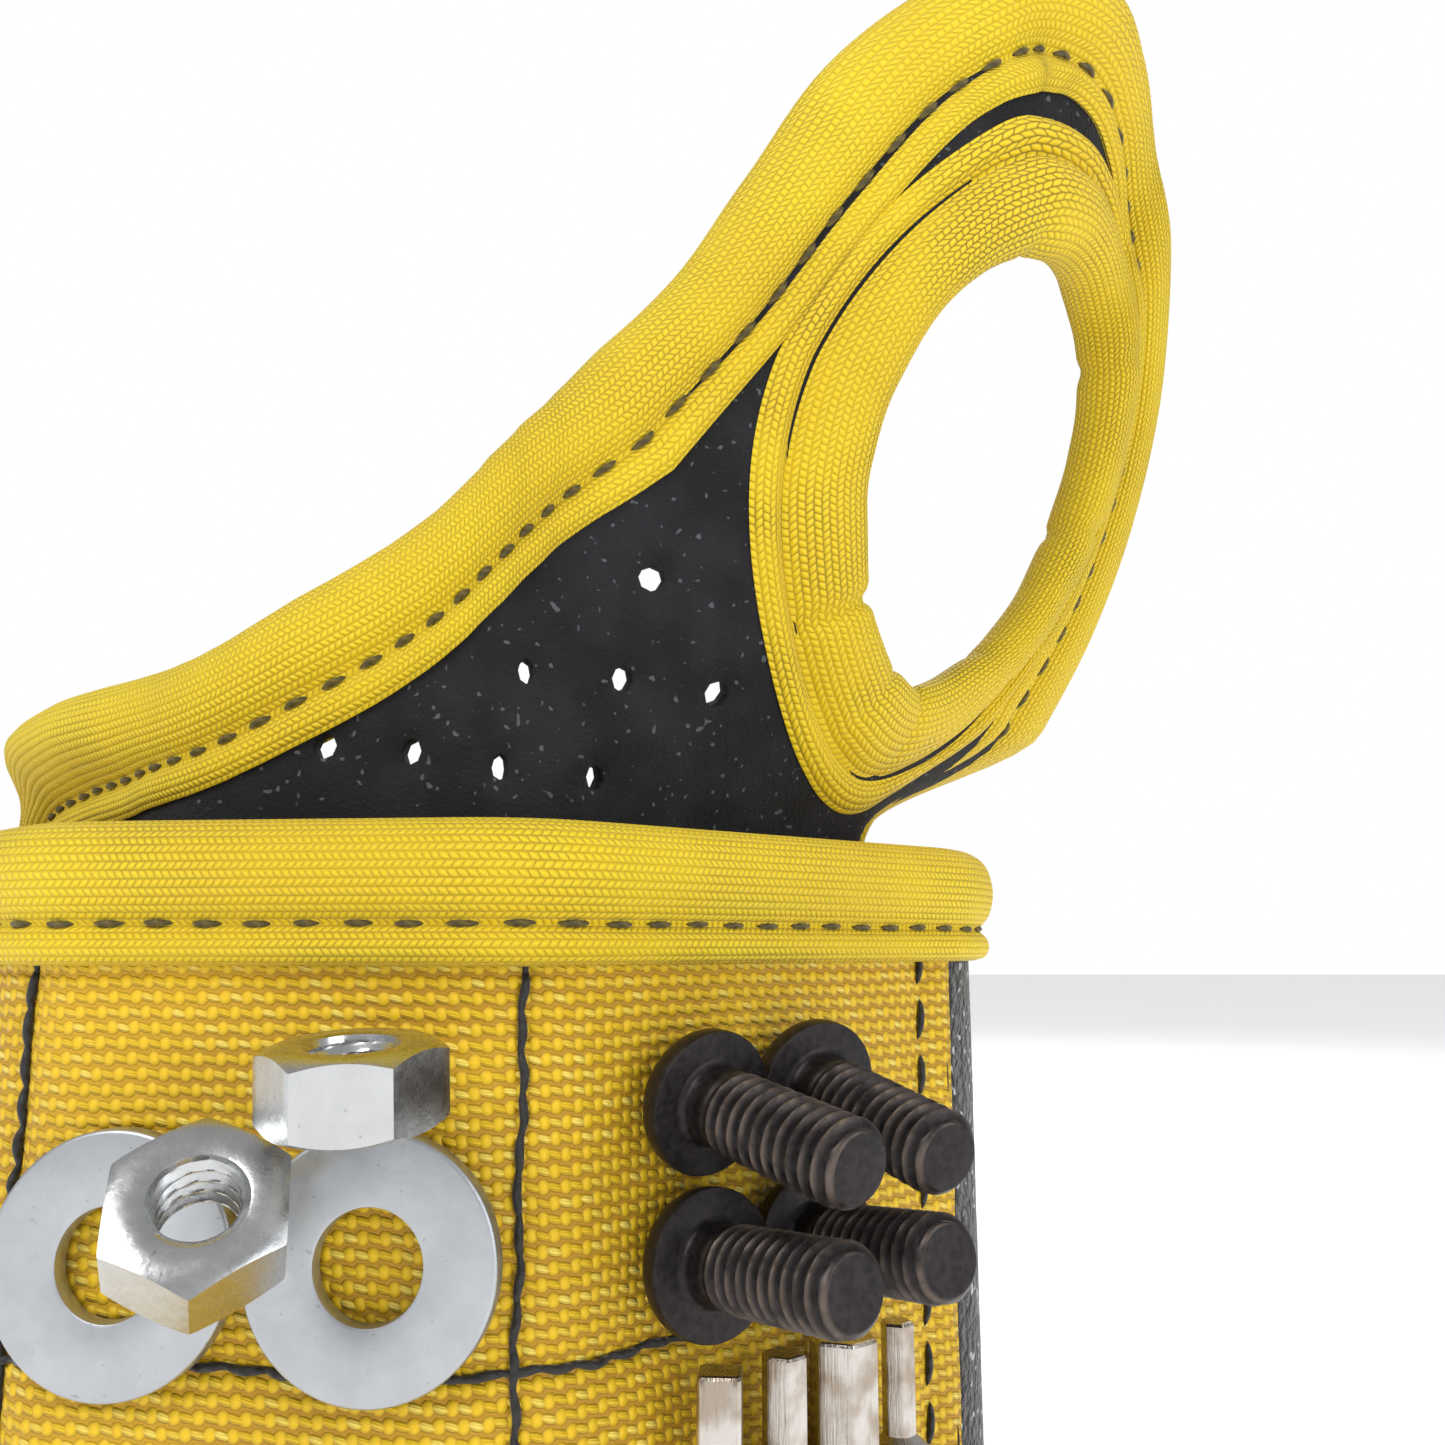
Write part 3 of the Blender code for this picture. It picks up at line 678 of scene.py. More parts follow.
def spline_point(corners, t):
    return tuple(
        0.5 * (2 * q + (r - p) * t + (2 * p - 5 * q + 4 * r - s) * t * t
               + (3 * q - p - 3 * r + s) * t ** 3)
        for p, q, r, s in zip(*corners))


def running_length(points):
    reached = [0.0]
    for before, after in zip(points, points[1:]):
        reached.append(reached[-1] + math.dist(before, after))
    return reached


def close_ends(shape):
    open_edges = [edge for edge in shape.edges if edge.is_boundary]
    bmesh.ops.holes_fill(shape, edges=open_edges, sides=0)


def band_binding(name, first, last, upper, finish, body, node):
    section = closed_curve(BINDING_SECTION, 3)
    section.append(section[0])
    around = running_length(section)
    shape = bmesh.new()
    steps = round(abs(last - first) / 1.6)

    def place(a, b):
        station = evenly(first, last, a)
        i = round(b * (len(section) - 1))
        out, drop = section[i]
        swell = noise.noise(Vector((station * 0.09, drop * 0.1, 7.0 if upper else 1.0)))
        pull = 0.12 * math.cos(2 * math.pi * station / STITCH_PITCH) * math.exp(-abs(drop - GROOVE_DROP))
        if out > 0.3:
            out += 0.22 * swell + pull
        height = BAND_HEIGHT - drop if upper else drop
        return band_point(station, out, height), (station * MM, around[i] * MM)

    bend(shape, len(section) - 1, steps, place)
    bmesh.ops.remove_doubles(shape, verts=shape.verts, dist=1e-6)
    close_ends(shape)
    return dress(finish_mesh(name, shape, 50), finish, "binding_tape", body, node)


STITCH_PITCH = 3.9
band_binding("upper_tape", FRONT_LEFT, STRAP_END, True, tape, "wristband", "top_binding")
band_binding("lower_tape", FRONT_LEFT, STRAP_END, False, tape, "wristband", "bottom_binding")
arm_upper_tape = band_binding("arm_upper_tape", ARM_ROOT, ARM_FREE_END, True, tape, None, "arm_top_binding")
arm_lower_tape = band_binding("arm_lower_tape", ARM_ROOT, ARM_FREE_END, False, tape, None,
                              "arm_bottom_binding")

# %% [markdown]
# The panel's edges carry the same tape over a thinner sheet.  The tape is drawn along a line
# of the flat pattern: across the tape runs the distance in from the edge, out of the sheet
# its thickness.  Where two bindings come close, each narrows to leave room for the other,
# and round the thumb hole the tape puckers where it is gathered into the tight bend.

# %% Edge tapes over a sheet
HALF_SECTION = (
    (12.1, 1.05), (11.9, 1.75), (11.0, 2.15), (10.0, 2.0), (9.25, 1.4), (8.8, 1.25),
    (8.35, 1.6), (7.2, 2.6), (5.4, 3.2), (3.4, 3.25), (1.7, 2.7), (0.45, 1.5),
)
SECTION_INSIDE = ((8.0, 1.05), (4.4, 0.9))
ROLL_MIDDLE = 3.1
SECTION_WIDTH = 12.1
GROOVE_WIDTH = 8.8


def edge_section():
    front = [*reversed(SECTION_INSIDE), *HALF_SECTION, (0.0, 0.0)]
    back = [(w, -t) for w, t in (*reversed(HALF_SECTION), *SECTION_INSIDE)]
    return closed_curve(front + back, 2)


def line_frame(points, closed):
    """The inward direction at each point of a line of the pattern."""
    found = []
    count = len(points)
    for i in range(count):
        before = points[(i - 1) % count] if closed else points[max(0, i - 1)]
        after = points[(i + 1) % count] if closed else points[min(count - 1, i + 1)]
        run = Vector((after[0] - before[0], after[1] - before[1])).normalized()
        found.append((run.y, -run.x))
    return found


class EdgeTape:
    """A bound edge: its line in the flat pattern, its widths and the surface it lies on."""

    def __init__(self, points, closed, shares, surface, thick=1.0, puckers=()):
        self.points = points
        self.closed = closed
        self.inward = line_frame(points, closed)
        self.shares = shares
        self.surface = surface
        self.thick = thick
        self.puckers = puckers
        if closed:
            self.points = points + points[:1]
            self.inward = self.inward + self.inward[:1]
            self.shares = shares + shares[:1]
        self.length = running_length(self.points)

    def fullness(self, i):
        """The roll's size at a point: 1 on smooth tape, less at a pucker."""
        if not self.puckers:
            return 1.0 + 0.04 * noise.noise(Vector((self.length[i] * 0.12, 0.0, 5.0)))
        share = self.length[i] / self.length[-1]
        turn = share * 6.283
        size = 1.04 + 0.10 * noise.noise(Vector((math.cos(turn) * 3.2, math.sin(turn) * 3.2, 2)))
        for middle, depth, width in self.puckers:
            away = abs((share - middle + 0.5) % 1.0 - 0.5)
            size -= depth * math.exp(-(away / width) ** 2)
        return size

    def at(self, i, w, t):
        share = self.shares[i]
        full = self.fullness(i)
        if w < ROLL_MIDDLE:
            w = ROLL_MIDDLE - (ROLL_MIDDLE - w) * full
        t *= self.thick * (full if w < GROOVE_WIDTH else 1.0)
        w = w * share - ROLL_MIDDLE * (share - 1.0) * smooth((1.0 - share) * 2.0)
        station = self.points[i][0] + (w - ROLL_MIDDLE) * self.inward[i][0]
        height = self.points[i][1] + (w - ROLL_MIDDLE) * self.inward[i][1]
        return self.surface(station, height, t)

    def build(self, name, finish, body, node):
        section = edge_section()
        section.append(section[0])
        around = running_length(section)
        shape = bmesh.new()

        def place(a, b):
            i = round(a * (len(self.points) - 1))
            j = round(b * (len(section) - 1))
            return self.at(i, *section[j]), (self.length[i] * MM, around[j] * MM)

        bend(shape, len(section) - 1, len(self.points) - 1, place)
        bmesh.ops.remove_doubles(shape, verts=shape.verts, dist=1e-6)
        close_ends(shape)
        return dress(finish_mesh(name, shape, 60), finish, "binding_tape", body, node)


# %% [markdown]
# The panel's outline in the flat pattern: the outer edge climbs over the back of the hand to
# a rounded peak and comes down behind the thumb hole, which is an upright ellipse.

# %% The hand panel's bindings
PANEL_EDGE = (
    (-84.5, 62.0), (-83.5, 74.0), (-79.5, 83.0), (-72.0, 87.6), (-60.0, 89.3), (-47.0, 90.2),
    (-31.7, 92.8), (-14.4, 101.5), (0.0, 111.0), (9.5, 117.5), (17.5, 126.5), (23.0, 138.0),
    (28.0, 148.5), (34.5, 154.6), (41.5, 155.0), (48.5, 151.5), (55.0, 145.5), (61.0, 138.0),
    (66.0, 129.5), (69.5, 119.5), (71.0, 108.0), (70.5, 96.0), (69.5, 84.0), (68.8, 79.5), (68.5, 64.0),
)
HOLE_CENTRE = (45.3, 114.5)
HOLE_HALF = (16.2, 22.6)


def open_curve(points, pieces):
    ends = [points[0], *points, points[-1]]
    made = []
    for i in range(len(points) - 1):
        for j in range(pieces):
            made.append(spline_point(ends[i:i + 4], j / pieces))
    return made + [points[-1]]


def hole_curve(count):
    turns = [2 * math.pi * i / count for i in range(count)]
    return [(HOLE_CENTRE[0] + HOLE_HALF[0] * math.cos(t), HOLE_CENTRE[1] + HOLE_HALF[1] * math.sin(t))
            for t in turns]


def shares_beside(points, others, take, narrow=0.0):
    """How wide each binding may be, from its share of the room between the two, narrower on its left."""
    found = []
    for point in points:
        room = min(math.dist(point, other) for other in others) - 2 * ROLL_MIDDLE - 0.7
        left = smooth((HOLE_CENTRE[0] - point[0]) / HOLE_HALF[0])
        right = smooth((point[0] - 52.0) / 8.0)
        part = 0.5 + (take - 0.5) * right
        extra = min(6.0 - narrow * left, max(0.0, room * part))
        found.append((2 * ROLL_MIDDLE + extra) / SECTION_WIDTH)
    return found


outer_line = open_curve(PANEL_EDGE, 10)
hole_ring = hole_curve(200)
outer_tape = EdgeTape(outer_line, False, shares_beside(outer_line, hole_ring, 0.9), panel_point)
PUCKERS = ((0.985, 0.20, 0.006), (0.12, 0.16, 0.008), (0.30, 0.12, 0.008), (0.62, 0.26, 0.007),
           (0.70, 0.10, 0.006), (0.76, 0.14, 0.006), (0.86, 0.12, 0.006))
hole_shares = shares_beside(hole_ring, outer_line, 0.1, 2.8)
hole_tape = EdgeTape(hole_ring, True, hole_shares, panel_point, 1.0, PUCKERS)
outer_tape.build("panel_edge_tape", tape, "wristband", "hand_panel_binding")
hole_tape.build("thumb_hole_tape", stretched_tape, "wristband", "thumb_hole_binding")

# %% [markdown]
# The panel itself is a velour sheet laid out as a flat grid.  Faces outside the outline are
# deleted, and the rough cut is hidden under the tapes.  A few punched breathing holes are
# made by deleting a vertex of the grid and drawing the rim that is left into a circle.

# %% The velour sheet
PANEL_FOOT = 60.0
HOLES = ((-21.0, 86.2), (-12.8, 85.6), (-1.2, 84.3), (12.7, 84.0), (2.4, 92.7), (14.8, 92.8),
         (23.8, 92.4), (16.5, 101.9))
HOLE_RADIUS = 1.15


def inside(point, outline):
    x, y = point
    within = False
    for (x1, y1), (x2, y2) in zip(outline, outline[1:] + outline[:1]):
        if (y1 > y) != (y2 > y) and x < (x2 - x1) * (y - y1) / (y2 - y1) + x1:
            within = not within
    return within


def make_velour_sheet():
    shape = bmesh.new()
    wide, tall, cell = 156.0, 96.0, 1.5
    bmesh.ops.create_grid(shape, x_segments=round(wide / cell), y_segments=round(tall / cell), size=0.5)
    for vert in shape.verts:
        vert.co = Vector((vert.co.x * wide - 4.0, vert.co.y * tall + PANEL_FOOT + tall / 2, 0.0))
    foot = [(outer_line[-1][0], PANEL_FOOT), (outer_line[0][0], PANEL_FOOT)]
    outline = outer_line + foot
    unwanted = []
    for face in shape.faces:
        middle = face.calc_center_median().xy
        if not inside(middle, outline) or inside(middle, hole_ring):
            unwanted.append(face)
    bmesh.ops.delete(shape, geom=unwanted, context="FACES")
    for hole in HOLES:
        shape.verts.ensure_lookup_table()
        near = min(shape.verts, key=lambda vert: (vert.co.xy - Vector(hole)).length)
        rim = {vert for face in near.link_faces for vert in face.verts if vert is not near}
        for vert in rim:
            away = (vert.co.xy - near.co.xy).normalized() * HOLE_RADIUS
            vert.co = (*(Vector(hole) + away), 0.0)
        bmesh.ops.delete(shape, geom=[near], context="VERTS")
    area = sum(face.calc_area() for face in shape.faces) * MM * MM
    for vert in shape.verts:
        vert.co = panel_point(vert.co.x, vert.co.y)
    thing = solidify(finish_mesh("velour_sheet", shape), 0.0020, 0.0)
    print("flat area of the velour sheet:", round(area, 5))
    return dress(thing, panel_velour, "panel_velour", "wristband", "hand_panel"), area


velour_sheet, velour_area = make_velour_sheet()

# %% [markdown]
# The closing tab wears the same edge tape on three sides.  Its line in the flat pattern runs
# out along the top, round the end and back, and the surface it lies on climbs over the end
# of the strap.

# %% The tab's binding
def tab_surface(station, height, out):
    return band_point(station, tab_lift(station) + 1.95 + out, height)


def tab_line():
    edge, corner = 1.6, 6.0
    low, high = edge, BAND_HEIGHT - edge
    end = TAB_END + edge
    made = [(evenly(ARM_FREE_END, end + corner, i / 24), low) for i in range(24)]
    for middle, first in (((end + corner, low + corner), 270), ((end + corner, high - corner), 180)):
        for i in range(9):
            angle = math.radians(first - 90 * i / 8)
            made.append((middle[0] + corner * math.cos(angle), middle[1] + corner * math.sin(angle)))
    made += [(evenly(end + corner, ARM_FREE_END, i / 24), high) for i in range(1, 25)]
    return made[::-1]


tab_points = tab_line()
tab_edge = EdgeTape(tab_points, False, [0.86] * len(tab_points), tab_surface, 0.58)
tab_tape = tab_edge.build("tab_tape", tape, None, "tab_binding")

# %% [markdown]
# Under the tab lies the hook half of the closure: a thin moulded strip covered with rows of
# small hooks that point in at the loops of the strap.

# %% Hook tape
def moulded_black():
    made = Finish("moulded_black", Roughness=0.4)
    grain = made.speckle(900.0, 2.0)
    colour = grain.between(0.3, 0.7).tint((0.008, 0.008, 0.009), (0.02, 0.02, 0.022))
    return made.lay(Base_Color=colour, height=(grain, 0.00005))


def tube(shape, path, radius, length, steps, ring=8):
    """Adds a tube along path(a), with its radius from radius(a), all in metres."""
    middle = (path(0.51) - path(0.49)).normalized()
    guide = Vector((0, 0, 1)) if abs(middle.z) < 0.8 else Vector((0, -1, 0))

    def place(a, b):
        here = min(0.999, max(0.001, a))
        run = (path(here + 0.001) - path(here - 0.001)).normalized()
        side = run.cross(guide).normalized()
        up = side.cross(run)
        angle = 2 * math.pi * b
        size = radius(a)
        point = path(a) + (side * math.cos(angle) + up * math.sin(angle)) * size
        return point, (a * length, b * 0.002)

    bend(shape, ring, steps, place)


def make_hook_tape():
    shape = bmesh.new()

    def place(a, b):
        station = evenly(STRAP_END - 1, TAB_END + 10.0, a)
        height = evenly(*TAB_INNER, b)
        return band_point(station, tab_lift(station) + 1.1, height), (station * MM, height * MM)

    bend(shape, 24, 20, place)
    wall = finish_mesh("hook_strip", shape)
    solidify(wall, 0.0005)
    dress(wall, moulded_black(), "hook_tape", "hook_tab", "hook_tape")
    hooks = bmesh.new()
    for i in range(11):
        for j in range(27):
            station = STRAP_END - 2.5 - i * 2.0
            height = TAB_INNER[0] + 2.0 + j * 2.05

            def path(a, station=station, height=height):
                angle = math.pi * min(1.0, a * 1.1)
                rise = 0.45 * math.sin(angle) + 0.12 * (1 - a)
                forward = station + 0.35 * (1 - math.cos(angle))
                return band_point(forward, tab_lift(station) + 0.58 - rise, height)

            tube(hooks, path, lambda a: 0.00011, 0.001, 5, 5)
    field = finish_mesh("hook_field", hooks)
    dress(field, wall.data.materials[0], "hook_tape", "hook_tab")


make_hook_tape()

# %% [markdown]
# The fabric pieces at the root of the arm and the pieces of the tab have their placement baked
# into their meshes.

# %% Fabric across the two soft hinges
FOLD = 9.0
middle = BAND_HEIGHT / 2
for piece in (arm_loops, arm_inside, arm_upper_tape, arm_lower_tape):
    band_point(ARM_ROOT, 0.0, middle)
    band_point(ARM_ROOT - FOLD, 0.0, middle)
    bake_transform(piece)
for piece in (tab_loops, tab_tape):
    band_point(ARM_FREE_END, 0.0, middle)
    band_point(ARM_FREE_END - FOLD, 0.0, middle)
    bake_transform(piece)

# %% [markdown]
# Three kinds of sewing show: the black quilting seams that divide the pockets, one dashed row
# beside the cover's right-hand edge, and the stitches that hold the tapes, sunk in their
# grooves and coloured dark olive-brown, partly as thread and partly as painted shadow in the
# grooves.  Each stitch is a short tube that dives into the cloth at both ends.

# %% Sewing
def seam(shape, first, last, pitch=2.9):
    """A row of tight stitches over the cover between two (station, height) places."""
    length = math.dist(first, last)

    def path(a):
        station = evenly(first[0], last[0], a)
        height = evenly(first[1], last[1], a)
        wander = 0.16 * math.sin(a * length * 0.55) + 0.08 * math.sin(a * length * 1.9)
        if first[0] == last[0]:
            station += wander
        else:
            height += wander
        rise = 0.34 * abs(math.sin(math.pi * a * length / pitch))
        return band_point(station, cover_out(station, height) + 0.1 + rise, height)

    def radius(a):
        return (0.24 + 0.12 * abs(math.sin(math.pi * a * length / pitch))) * MM

    tube(shape, path, radius, length * MM, round(length * 2.6))


def stitch(shape, path, length, radius=0.26):
    """One stitch: a tube whose ends are thin and sunk."""
    tube(shape, path, lambda a: radius * MM * math.sqrt(max(0.0, math.sin(math.pi * a))), length * MM, 8, 7)


def make_cover_seams():
    shape = bmesh.new()
    low, high = 9.5, BAND_HEIGHT - 9.5
    seam(shape, (COVER_LEFT, SEAM_HEIGHT), (STITCH_STATION - 0.5, SEAM_HEIGHT))
    for station in SEAMS:
        seam(shape, (station, low), (station, high))
    pitch = 5.1
    height = low
    while height < high:
        def path(a, height=height):
            station = STITCH_STATION + 0.35 * (a - 0.5)
            here = height + a * 3.9
            return band_point(station, cover_out(station, here) + 0.05 + 0.42 * math.sin(math.pi * a), here)

        stitch(shape, path, 3.9, 0.34)
        height += pitch
    return dress(finish_mesh("cover_seams", shape), black_thread, "loop_pile", "wristband")


make_cover_seams()


def band_stitches(name, first, last, out, sink, body):
    """Stitches in the grooves of both bindings, on one face of the band."""
    shape = bmesh.new()
    count = int(abs(last - first) / STITCH_PITCH)
    step = STITCH_PITCH if last > first else -STITCH_PITCH
    for i in range(count):
        begin = first + step * (i + 0.3)
        for upper in (True, False):
            drop = GROOVE_DROP + 0.05 * math.sin(i * 1.7)
            height = BAND_HEIGHT - drop if upper else drop

            def path(a, begin=begin, height=height):
                return band_point(begin + step * 0.66 * a, out + sink * math.sin(math.pi * a), height)

            stitch(shape, path, abs(step) * 0.66)
    return dress(finish_mesh(name, shape), stitch_thread_and_shadow, "binding_tape", body)


band_stitches("front_stitches", FRONT_LEFT + 1, STRAP_END - 1, 0.82, 0.36, "wristband")
band_stitches("lining_stitches", FRONT_LEFT + 1, STRAP_END - 1, -7.62, -0.2, "wristband")
band_stitches("arm_stitches", ARM_ROOT - FOLD - 1, ARM_FREE_END + 1, 0.82, 0.36, "closing_arm")


def edge_stitches(name, edge, first, last, body):
    """Stitches in the groove of an edge tape, on both faces."""
    shape = bmesh.new()
    pitch = 3.6
    reached = first
    while reached + pitch < last:
        for side in (1, -1):
            def path(a, reached=reached, side=side):
                run = reached + pitch * 0.68 * a
                i = min(len(edge.length) - 2, bisect(edge.length, run))
                share = (run - edge.length[i]) / (edge.length[i + 1] - edge.length[i])
                low = edge.at(i, GROOVE_WIDTH, side * (1.15 + 0.4 * math.sin(math.pi * a)))
                high = edge.at(i + 1, GROOVE_WIDTH, side * (1.15 + 0.4 * math.sin(math.pi * a)))
                return low.lerp(high, share)

            stitch(shape, path, pitch * 0.68, 0.3)
        reached += pitch
    return dress(finish_mesh(name, shape), stitch_thread_and_shadow, "binding_tape", body)


def bisect(values, wanted):
    low, high = 0, len(values) - 1
    while high - low > 1:
        half = (low + high) // 2
        if values[half] <= wanted:
            low = half
        else:
            high = half
    return low


edge_stitches("panel_stitches", outer_tape, 8.0, outer_tape.length[-1] - 20.0, "wristband")
edge_stitches("tab_stitches", tab_edge, 1.0, tab_edge.length[-1] - 11.0, "hook_tab")

# %% [markdown]
# The loose hardware is standard quarter-inch size.  Every piece is a ring of sections round
# its own axis: a rule gives the radius and the height for each row and each angle, which can
# describe a rounded washer, a hexagon with turned chamfers, and a helical thread alike.

# %% Turned pieces
def standing(station, out, height):
    heading = heading_at(station)[2]
    return Matrix.Translation(band_point(station, out, height)) @ Matrix.Rotation(heading, 4, "Z")


def facing(station, out, height):
    return standing(station, out, height) @ Matrix.Rotation(math.radians(90), 4, "X")


def turned_piece(name, rows, around, placement, finish, slot, node, crease=35, closed=False):
    """rows is a list of rules; each gives (radius, height) or (radius, height, crest) at an angle."""
    shape = bmesh.new()
    crest = shape.verts.layers.float.new("crest")
    marks = {}
    if closed:
        rows = rows + rows[:1]

    def place(a, b):
        angle = 2 * math.pi * a
        found = rows[round(b * (len(rows) - 1))](angle)
        point = Vector((found[0] * math.cos(angle), found[0] * math.sin(angle), found[1])) * MM
        key = (round(point.x, 8), round(point.y, 8), round(point.z, 8))
        marks[key] = found[2] if len(found) > 2 else 0.0
        return point, (a, b)

    verts = bend(shape, len(rows) - 1, around, place)
    for vert in verts:
        vert[crest] = marks.get((round(vert.co.x, 8), round(vert.co.y, 8), round(vert.co.z, 8)), 0.0)
    bmesh.ops.transform(shape, matrix=placement, verts=shape.verts)
    return dress(finish_mesh(name, shape, crease, 2e-6), finish, slot, node, node)


def plain(*points):
    """Rules for a plain turned profile."""
    return [lambda angle, r=r, h=h: (r, h) for r, h in points]


def polygon_reach(angle, sides, flats, corner):
    """Distance from the middle to a regular polygon's side, with its corners rounded."""
    part = 2 * math.pi / sides
    return min(flats / 2 / math.cos((angle % part) - part / 2), flats / 2 * corner)


GAP = 0.3
WASHER_HALF = 0.8
WASHERS = {"washer_left": (-29.4, 46.9), "washer_right": (-10.2, 47.2)}


def make_washer(node, station, height):
    h = WASHER_HALF
    profile = plain((3.97, h - 0.25), (4.03, h - 0.1), (4.25, h), (6.5, h - 0.015), (9.0, h),
                    (9.17, h - 0.04), (9.29, h - 0.16), (9.32, h - 0.35), (9.32, -h + 0.2),
                    (9.2, -h + 0.05), (9.0, -h), (4.25, -h), (4.03, -h + 0.1), (3.97, -h + 0.25))
    turned_piece(node + "_ring", profile, 96, facing(station, GAP + h, height), washer_zinc, "zinc", node,
                 40, True)


for node, (station, height) in WASHERS.items():
    make_washer(node, station, height)

NUT_FLATS = 11.1
NUT_HALF = 2.78
THREAD_PITCH = 1.27


def thread_depth(turns):
    """0 at the crest of a thread and 1 at its root."""
    return min(1.0, max(0.0, (abs(2 * (turns % 1.0) - 1) - 0.14) / 0.72))


def bore_row(height):
    def rule(angle):
        return 2.62 + 0.5 * thread_depth(height / THREAD_PITCH + angle / 2 / math.pi), height
    return rule


def make_nut(node, placement):
    face = NUT_FLATS / 2 * 0.955
    rows = []
    samples = round(2 * NUT_HALF / THREAD_PITCH * 10)
    for i in range(samples + 1):
        height = NUT_HALF - 0.5 - (2 * NUT_HALF - 1.0) * i / samples
        rows.append(bore_row(height))

    def side(drop):
        def rule(angle, sign=math.copysign(1, drop), depth=abs(drop)):
            reach = polygon_reach(angle, 6, NUT_FLATS, 1.147)
            fall = max(0.0, reach - face) * 0.56
            return reach, sign * (NUT_HALF - max(fall, 0.1) - depth + 1.0)
        return rule

    bottom = plain((3.2, -NUT_HALF + 0.06), (3.4, -NUT_HALF), (face - 0.15, -NUT_HALF))
    top = plain((face - 0.15, NUT_HALF), (3.4, NUT_HALF), (3.2, NUT_HALF - 0.06))
    outside = [side(-1.0), side(-1.15), side(1.15), side(1.0)]
    turned_piece(node + "_threaded", rows + bottom + outside + top, 96, placement, nut_zinc, "zinc", node,
                 28, True)


SEAT = 2 * GAP + 2 * WASHER_HALF
NUTS = {
    "nut_upright": ((-9.3, SEAT + NUT_FLATS / 2 + 0.6, 60.2), ((8, "X"), (15, "Z"))),
    "nut_leaning": ((-18.8, SEAT + 7.3, 51.6), ((24, "Z"), (50, "X"), (30, "Z"))),
}
for node, (place, turns) in NUTS.items():
    placement = standing(*place)
    turned = Matrix.Identity(4)
    for degrees, axis in turns:
        turned = turned @ Matrix.Rotation(math.radians(degrees), 4, axis)
    make_nut(node, placement @ turned)

# %% [markdown]
# The screws have a low button head with a hexagon socket, which lies against the cover, a
# short plain neck and a full thread.  The crest of the thread is passed on as an attribute,
# and the finish colours it brown: partly rubbed wear, partly a painted highlight.

# %% Screws
SCREWS = {
    "screw_upper_left": ((14.0, 58.0), (13.2, 54.6)),
    "screw_upper_right": ((26.0, 58.4), (22.9, 54.2)),
    "screw_lower_left": ((14.4, 45.5), (12.4, 47.0)),
    "screw_lower_right": ((26.0, 45.4), (22.4, 47.5)),
}
SCREW_LENGTH = 19.25
SCREW_RADIUS = 3.175
HEAD_HEIGHT = 3.35
NECK_END = 5.4


def thread_row(height):
    def rule(angle):
        deep = thread_depth(height / THREAD_PITCH + angle / 2 / math.pi)
        run_out = smooth((height - NECK_END) / 1.6)
        reach = SCREW_RADIUS - 0.12 * (1 - run_out) - 0.72 * deep * run_out
        end = SCREW_RADIUS - 0.75 + max(0.0, SCREW_LENGTH - height) * 0.9
        crest = (1.0 - min(1.0, deep * 2.2)) * run_out
        return min(reach, end), height, crest
    return rule


def make_screw(node, head, end):
    start = band_point(head[0], 0.9, head[1])
    finish = band_point(end[0], 0.9 + SCREW_LENGTH, end[1])
    rows = plain((0.0, SCREW_LENGTH), (1.2, SCREW_LENGTH), (SCREW_RADIUS - 0.85, SCREW_LENGTH))
    count = round((SCREW_LENGTH - NECK_END) / THREAD_PITCH * 9)
    for i in range(count + 1):
        rows.append(thread_row(evenly(SCREW_LENGTH - 0.03, NECK_END, i / count)))
    rows += plain((3.02, 5.0), (3.0, HEAD_HEIGHT + 0.5), (3.2, HEAD_HEIGHT + 0.12), (3.6, HEAD_HEIGHT),
                  (5.3, HEAD_HEIGHT), (5.48, HEAD_HEIGHT - 0.06), (5.55, HEAD_HEIGHT - 0.25), (5.55, 2.5))
    for i in range(1, 9):
        angle = math.pi / 2 * i / 8
        rows += plain((2.5 + 3.05 * math.cos(angle), 2.45 * (1 - math.sin(angle))))
    rows += [lambda angle: (polygon_reach(angle, 6, 3.97, 1.13) + 0.1, 0.02),
             lambda angle: (polygon_reach(angle, 6, 3.97, 1.13), 0.2),
             lambda angle: (polygon_reach(angle, 6, 3.97, 1.13), 2.0)]
    rows += plain((0.0, 2.4))
    turn = (finish - start).to_track_quat("Z", "Y").to_matrix().to_4x4()
    turned_piece(node + "_threaded", rows, 48, Matrix.Translation(start) @ turn, screw_black, "black_oxide",
                 node, 50)


for node, (head, end) in SCREWS.items():
    make_screw(node, head, end)

# %% [markdown]
# The driver bits have a hexagon shank with slightly rounded corners and a turned cone where it
# narrows to the tip.  One tip is square and three are hexagons of different widths.

# %% Driver bits
BITS = {
    "bit_square": (14.7, 3.3, 4),
    "bit_hex_small": (21.35, 3.2, 6),
    "bit_hex_large": (28.0, 5.0, 6),
    "bit_hex_fine": (34.65, 2.5, 6),
}
BIT_FLATS = 6.35
BIT_LENGTH = 25.4
BIT_SHANK = 14.5
BIT_FOOT = 12.8


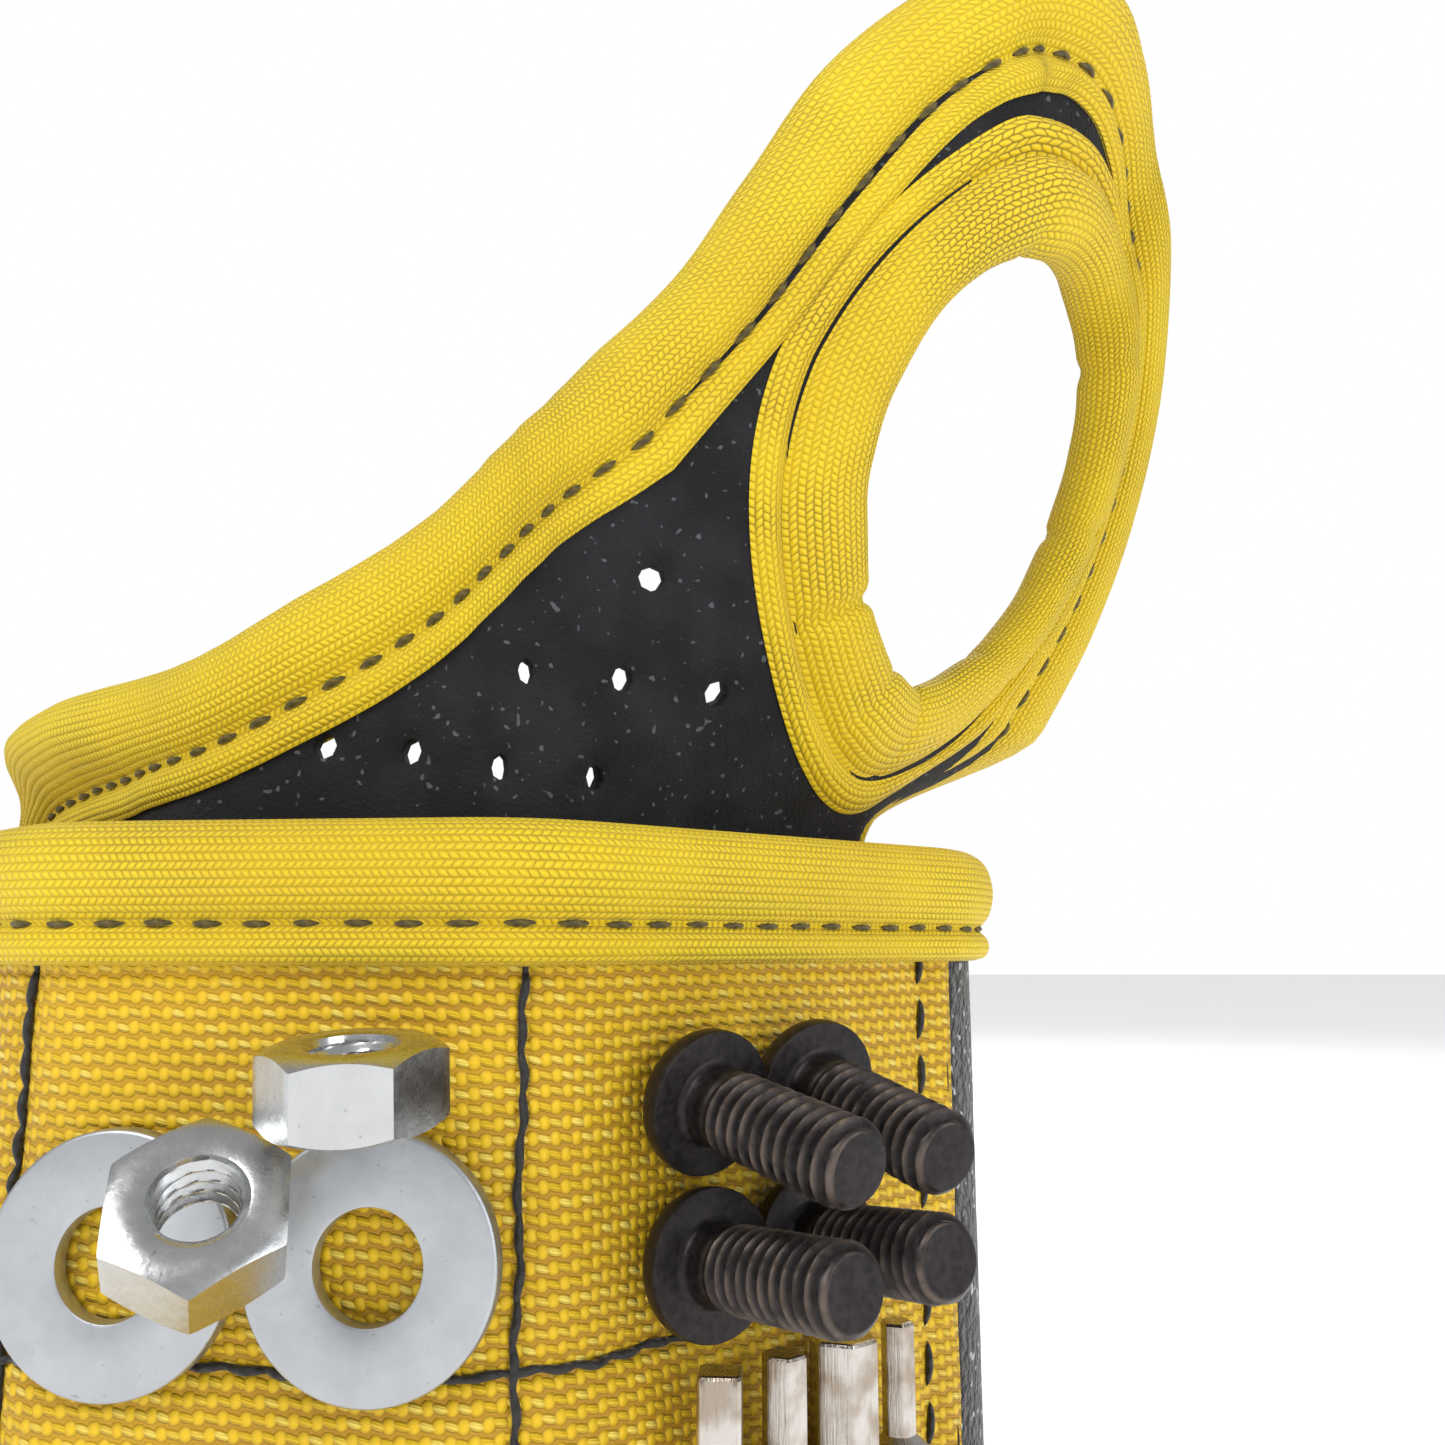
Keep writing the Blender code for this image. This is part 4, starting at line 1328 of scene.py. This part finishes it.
def make_bit(node, station, tip, sides):
    shank = 1.13

    def row(height, shrink):
        def rule(angle):
            body = polygon_reach(angle, 6, BIT_FLATS, shank)
            blade = polygon_reach(angle, sides, tip, 1.32 if sides == 4 else 1.13)
            cone = BIT_FLATS / 2 * 1.16 - max(0.0, height - BIT_SHANK) * 1.15
            reach = max(min(body, cone), blade) if height < BIT_SHANK + 3.4 else blade
            return max(0.0, reach - shrink), height
        return rule

    rows = plain((0.0, 0.0)) + [row(0.0, 0.5), row(0.12, 0.3), row(0.5, 0.0), row(1.0, 0.0)]
    for i in range(1, 16):
        rows.append(row(evenly(BIT_SHANK - 1.0, BIT_SHANK + 3.6, i / 15), 0.0))
    rows += [row(BIT_LENGTH - 1.2, 0.0), row(BIT_LENGTH - 0.3, 0.0), row(BIT_LENGTH - 0.08, 0.12)]
    rows += [row(BIT_LENGTH, 0.3)] + plain((0.0, BIT_LENGTH))
    placement = standing(station, GAP + BIT_FLATS / math.sqrt(3), BIT_FOOT)
    turned_piece(node + "_steel", rows, 72, placement, bit_steel, "bit_steel", node, 24)


for node, facts in BITS.items():
    make_bit(node, *facts)

# %% [markdown]
# The magnets stay plain plated blocks, as they are on the real thing, hidden in the pockets.

# %% Magnets
for name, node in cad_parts.items():
    if name.startswith("magnet_") and name != "magnet_backing_foam":
        node.data.materials.clear()
        node.data.materials.append(magnet_nickel)

# %% [markdown]
# The studio is a white sweep with soft light from large panels, one above and in front on the
# left, a weaker one on the right and one behind that lifts the edges.  The sweep glows a little
# and the sky is brighter to the camera than it is to the object, so the background stays white
# without washing out the cloth.

# %% Studio
FLOOR_GLOW = 0.42
SKY_LIGHT = 0.44
SKY_EXTRA_IN_VIEW = 0.56


def make_floor():
    shape = bmesh.new()
    bmesh.ops.create_grid(shape, x_segments=2, y_segments=2, size=3.0)
    floor = finish_mesh("floor", shape)
    made = Finish("white_sweep", Roughness=0.9, Emission_Strength=FLOOR_GLOW)
    dust = made.speckle(8.0, 2.0)
    white = dust.tint((0.88, 0.88, 0.88), (0.92, 0.92, 0.92))
    floor.data.materials.append(made.lay(Base_Color=white, Emission_Color=white))


def make_light(name, place, target, size, power, colour):
    light = bpy.data.lights.new(name, "AREA")
    light.size = size
    light.energy = power
    light.color = colour
    thing = bpy.data.objects.new(name, light)
    thing.location = place
    aim = Vector(target) - Vector(place)
    thing.rotation_euler = aim.to_track_quat("-Z", "Y").to_euler()
    bpy.context.scene.collection.objects.link(thing)


def make_sky():
    world = bpy.data.worlds.new("studio")
    world.use_nodes = True
    nodes, links = world.node_tree.nodes, world.node_tree.links
    sky = nodes["Background"]
    sky.inputs["Color"].default_value = (1.0, 1.0, 1.0, 1.0)
    path = nodes.new("ShaderNodeLightPath")
    glow = nodes.new("ShaderNodeMath")
    glow.operation = "MULTIPLY_ADD"
    glow.inputs[1].default_value = SKY_EXTRA_IN_VIEW
    glow.inputs[2].default_value = SKY_LIGHT
    links.new(path.outputs["Is Camera Ray"], glow.inputs[0])
    links.new(glow.outputs["Value"], sky.inputs["Strength"])
    bpy.context.scene.world = world


def make_camera(place, pitch, lens):
    made = bpy.data.cameras.new("camera")
    made.lens = lens
    made.sensor_width = 36.0
    made.clip_start = 0.01
    camera = bpy.data.objects.new("camera", made)
    camera.location = place
    camera.rotation_euler = (math.radians(90 + pitch), 0.0, 0.0)
    bpy.context.scene.collection.objects.link(camera)
    bpy.context.scene.camera = camera


make_floor()
aim = (0.0, -0.02, 0.08)
make_light("key", (-0.35, -0.55, 0.65), aim, 0.45, 4.0, (1.0, 0.99, 0.97))
make_light("fill", (0.6, -0.45, 0.30), aim, 0.5, 2.2, (0.98, 0.99, 1.0))
make_light("rim", (0.15, 0.55, 0.60), aim, 0.5, 2.5, (1.0, 1.0, 1.0))
make_sky()
bpy.context.scene.view_settings.view_transform = "Standard"
make_camera((0.01845, -0.13336, 0.0694), 9.71, 32.39)
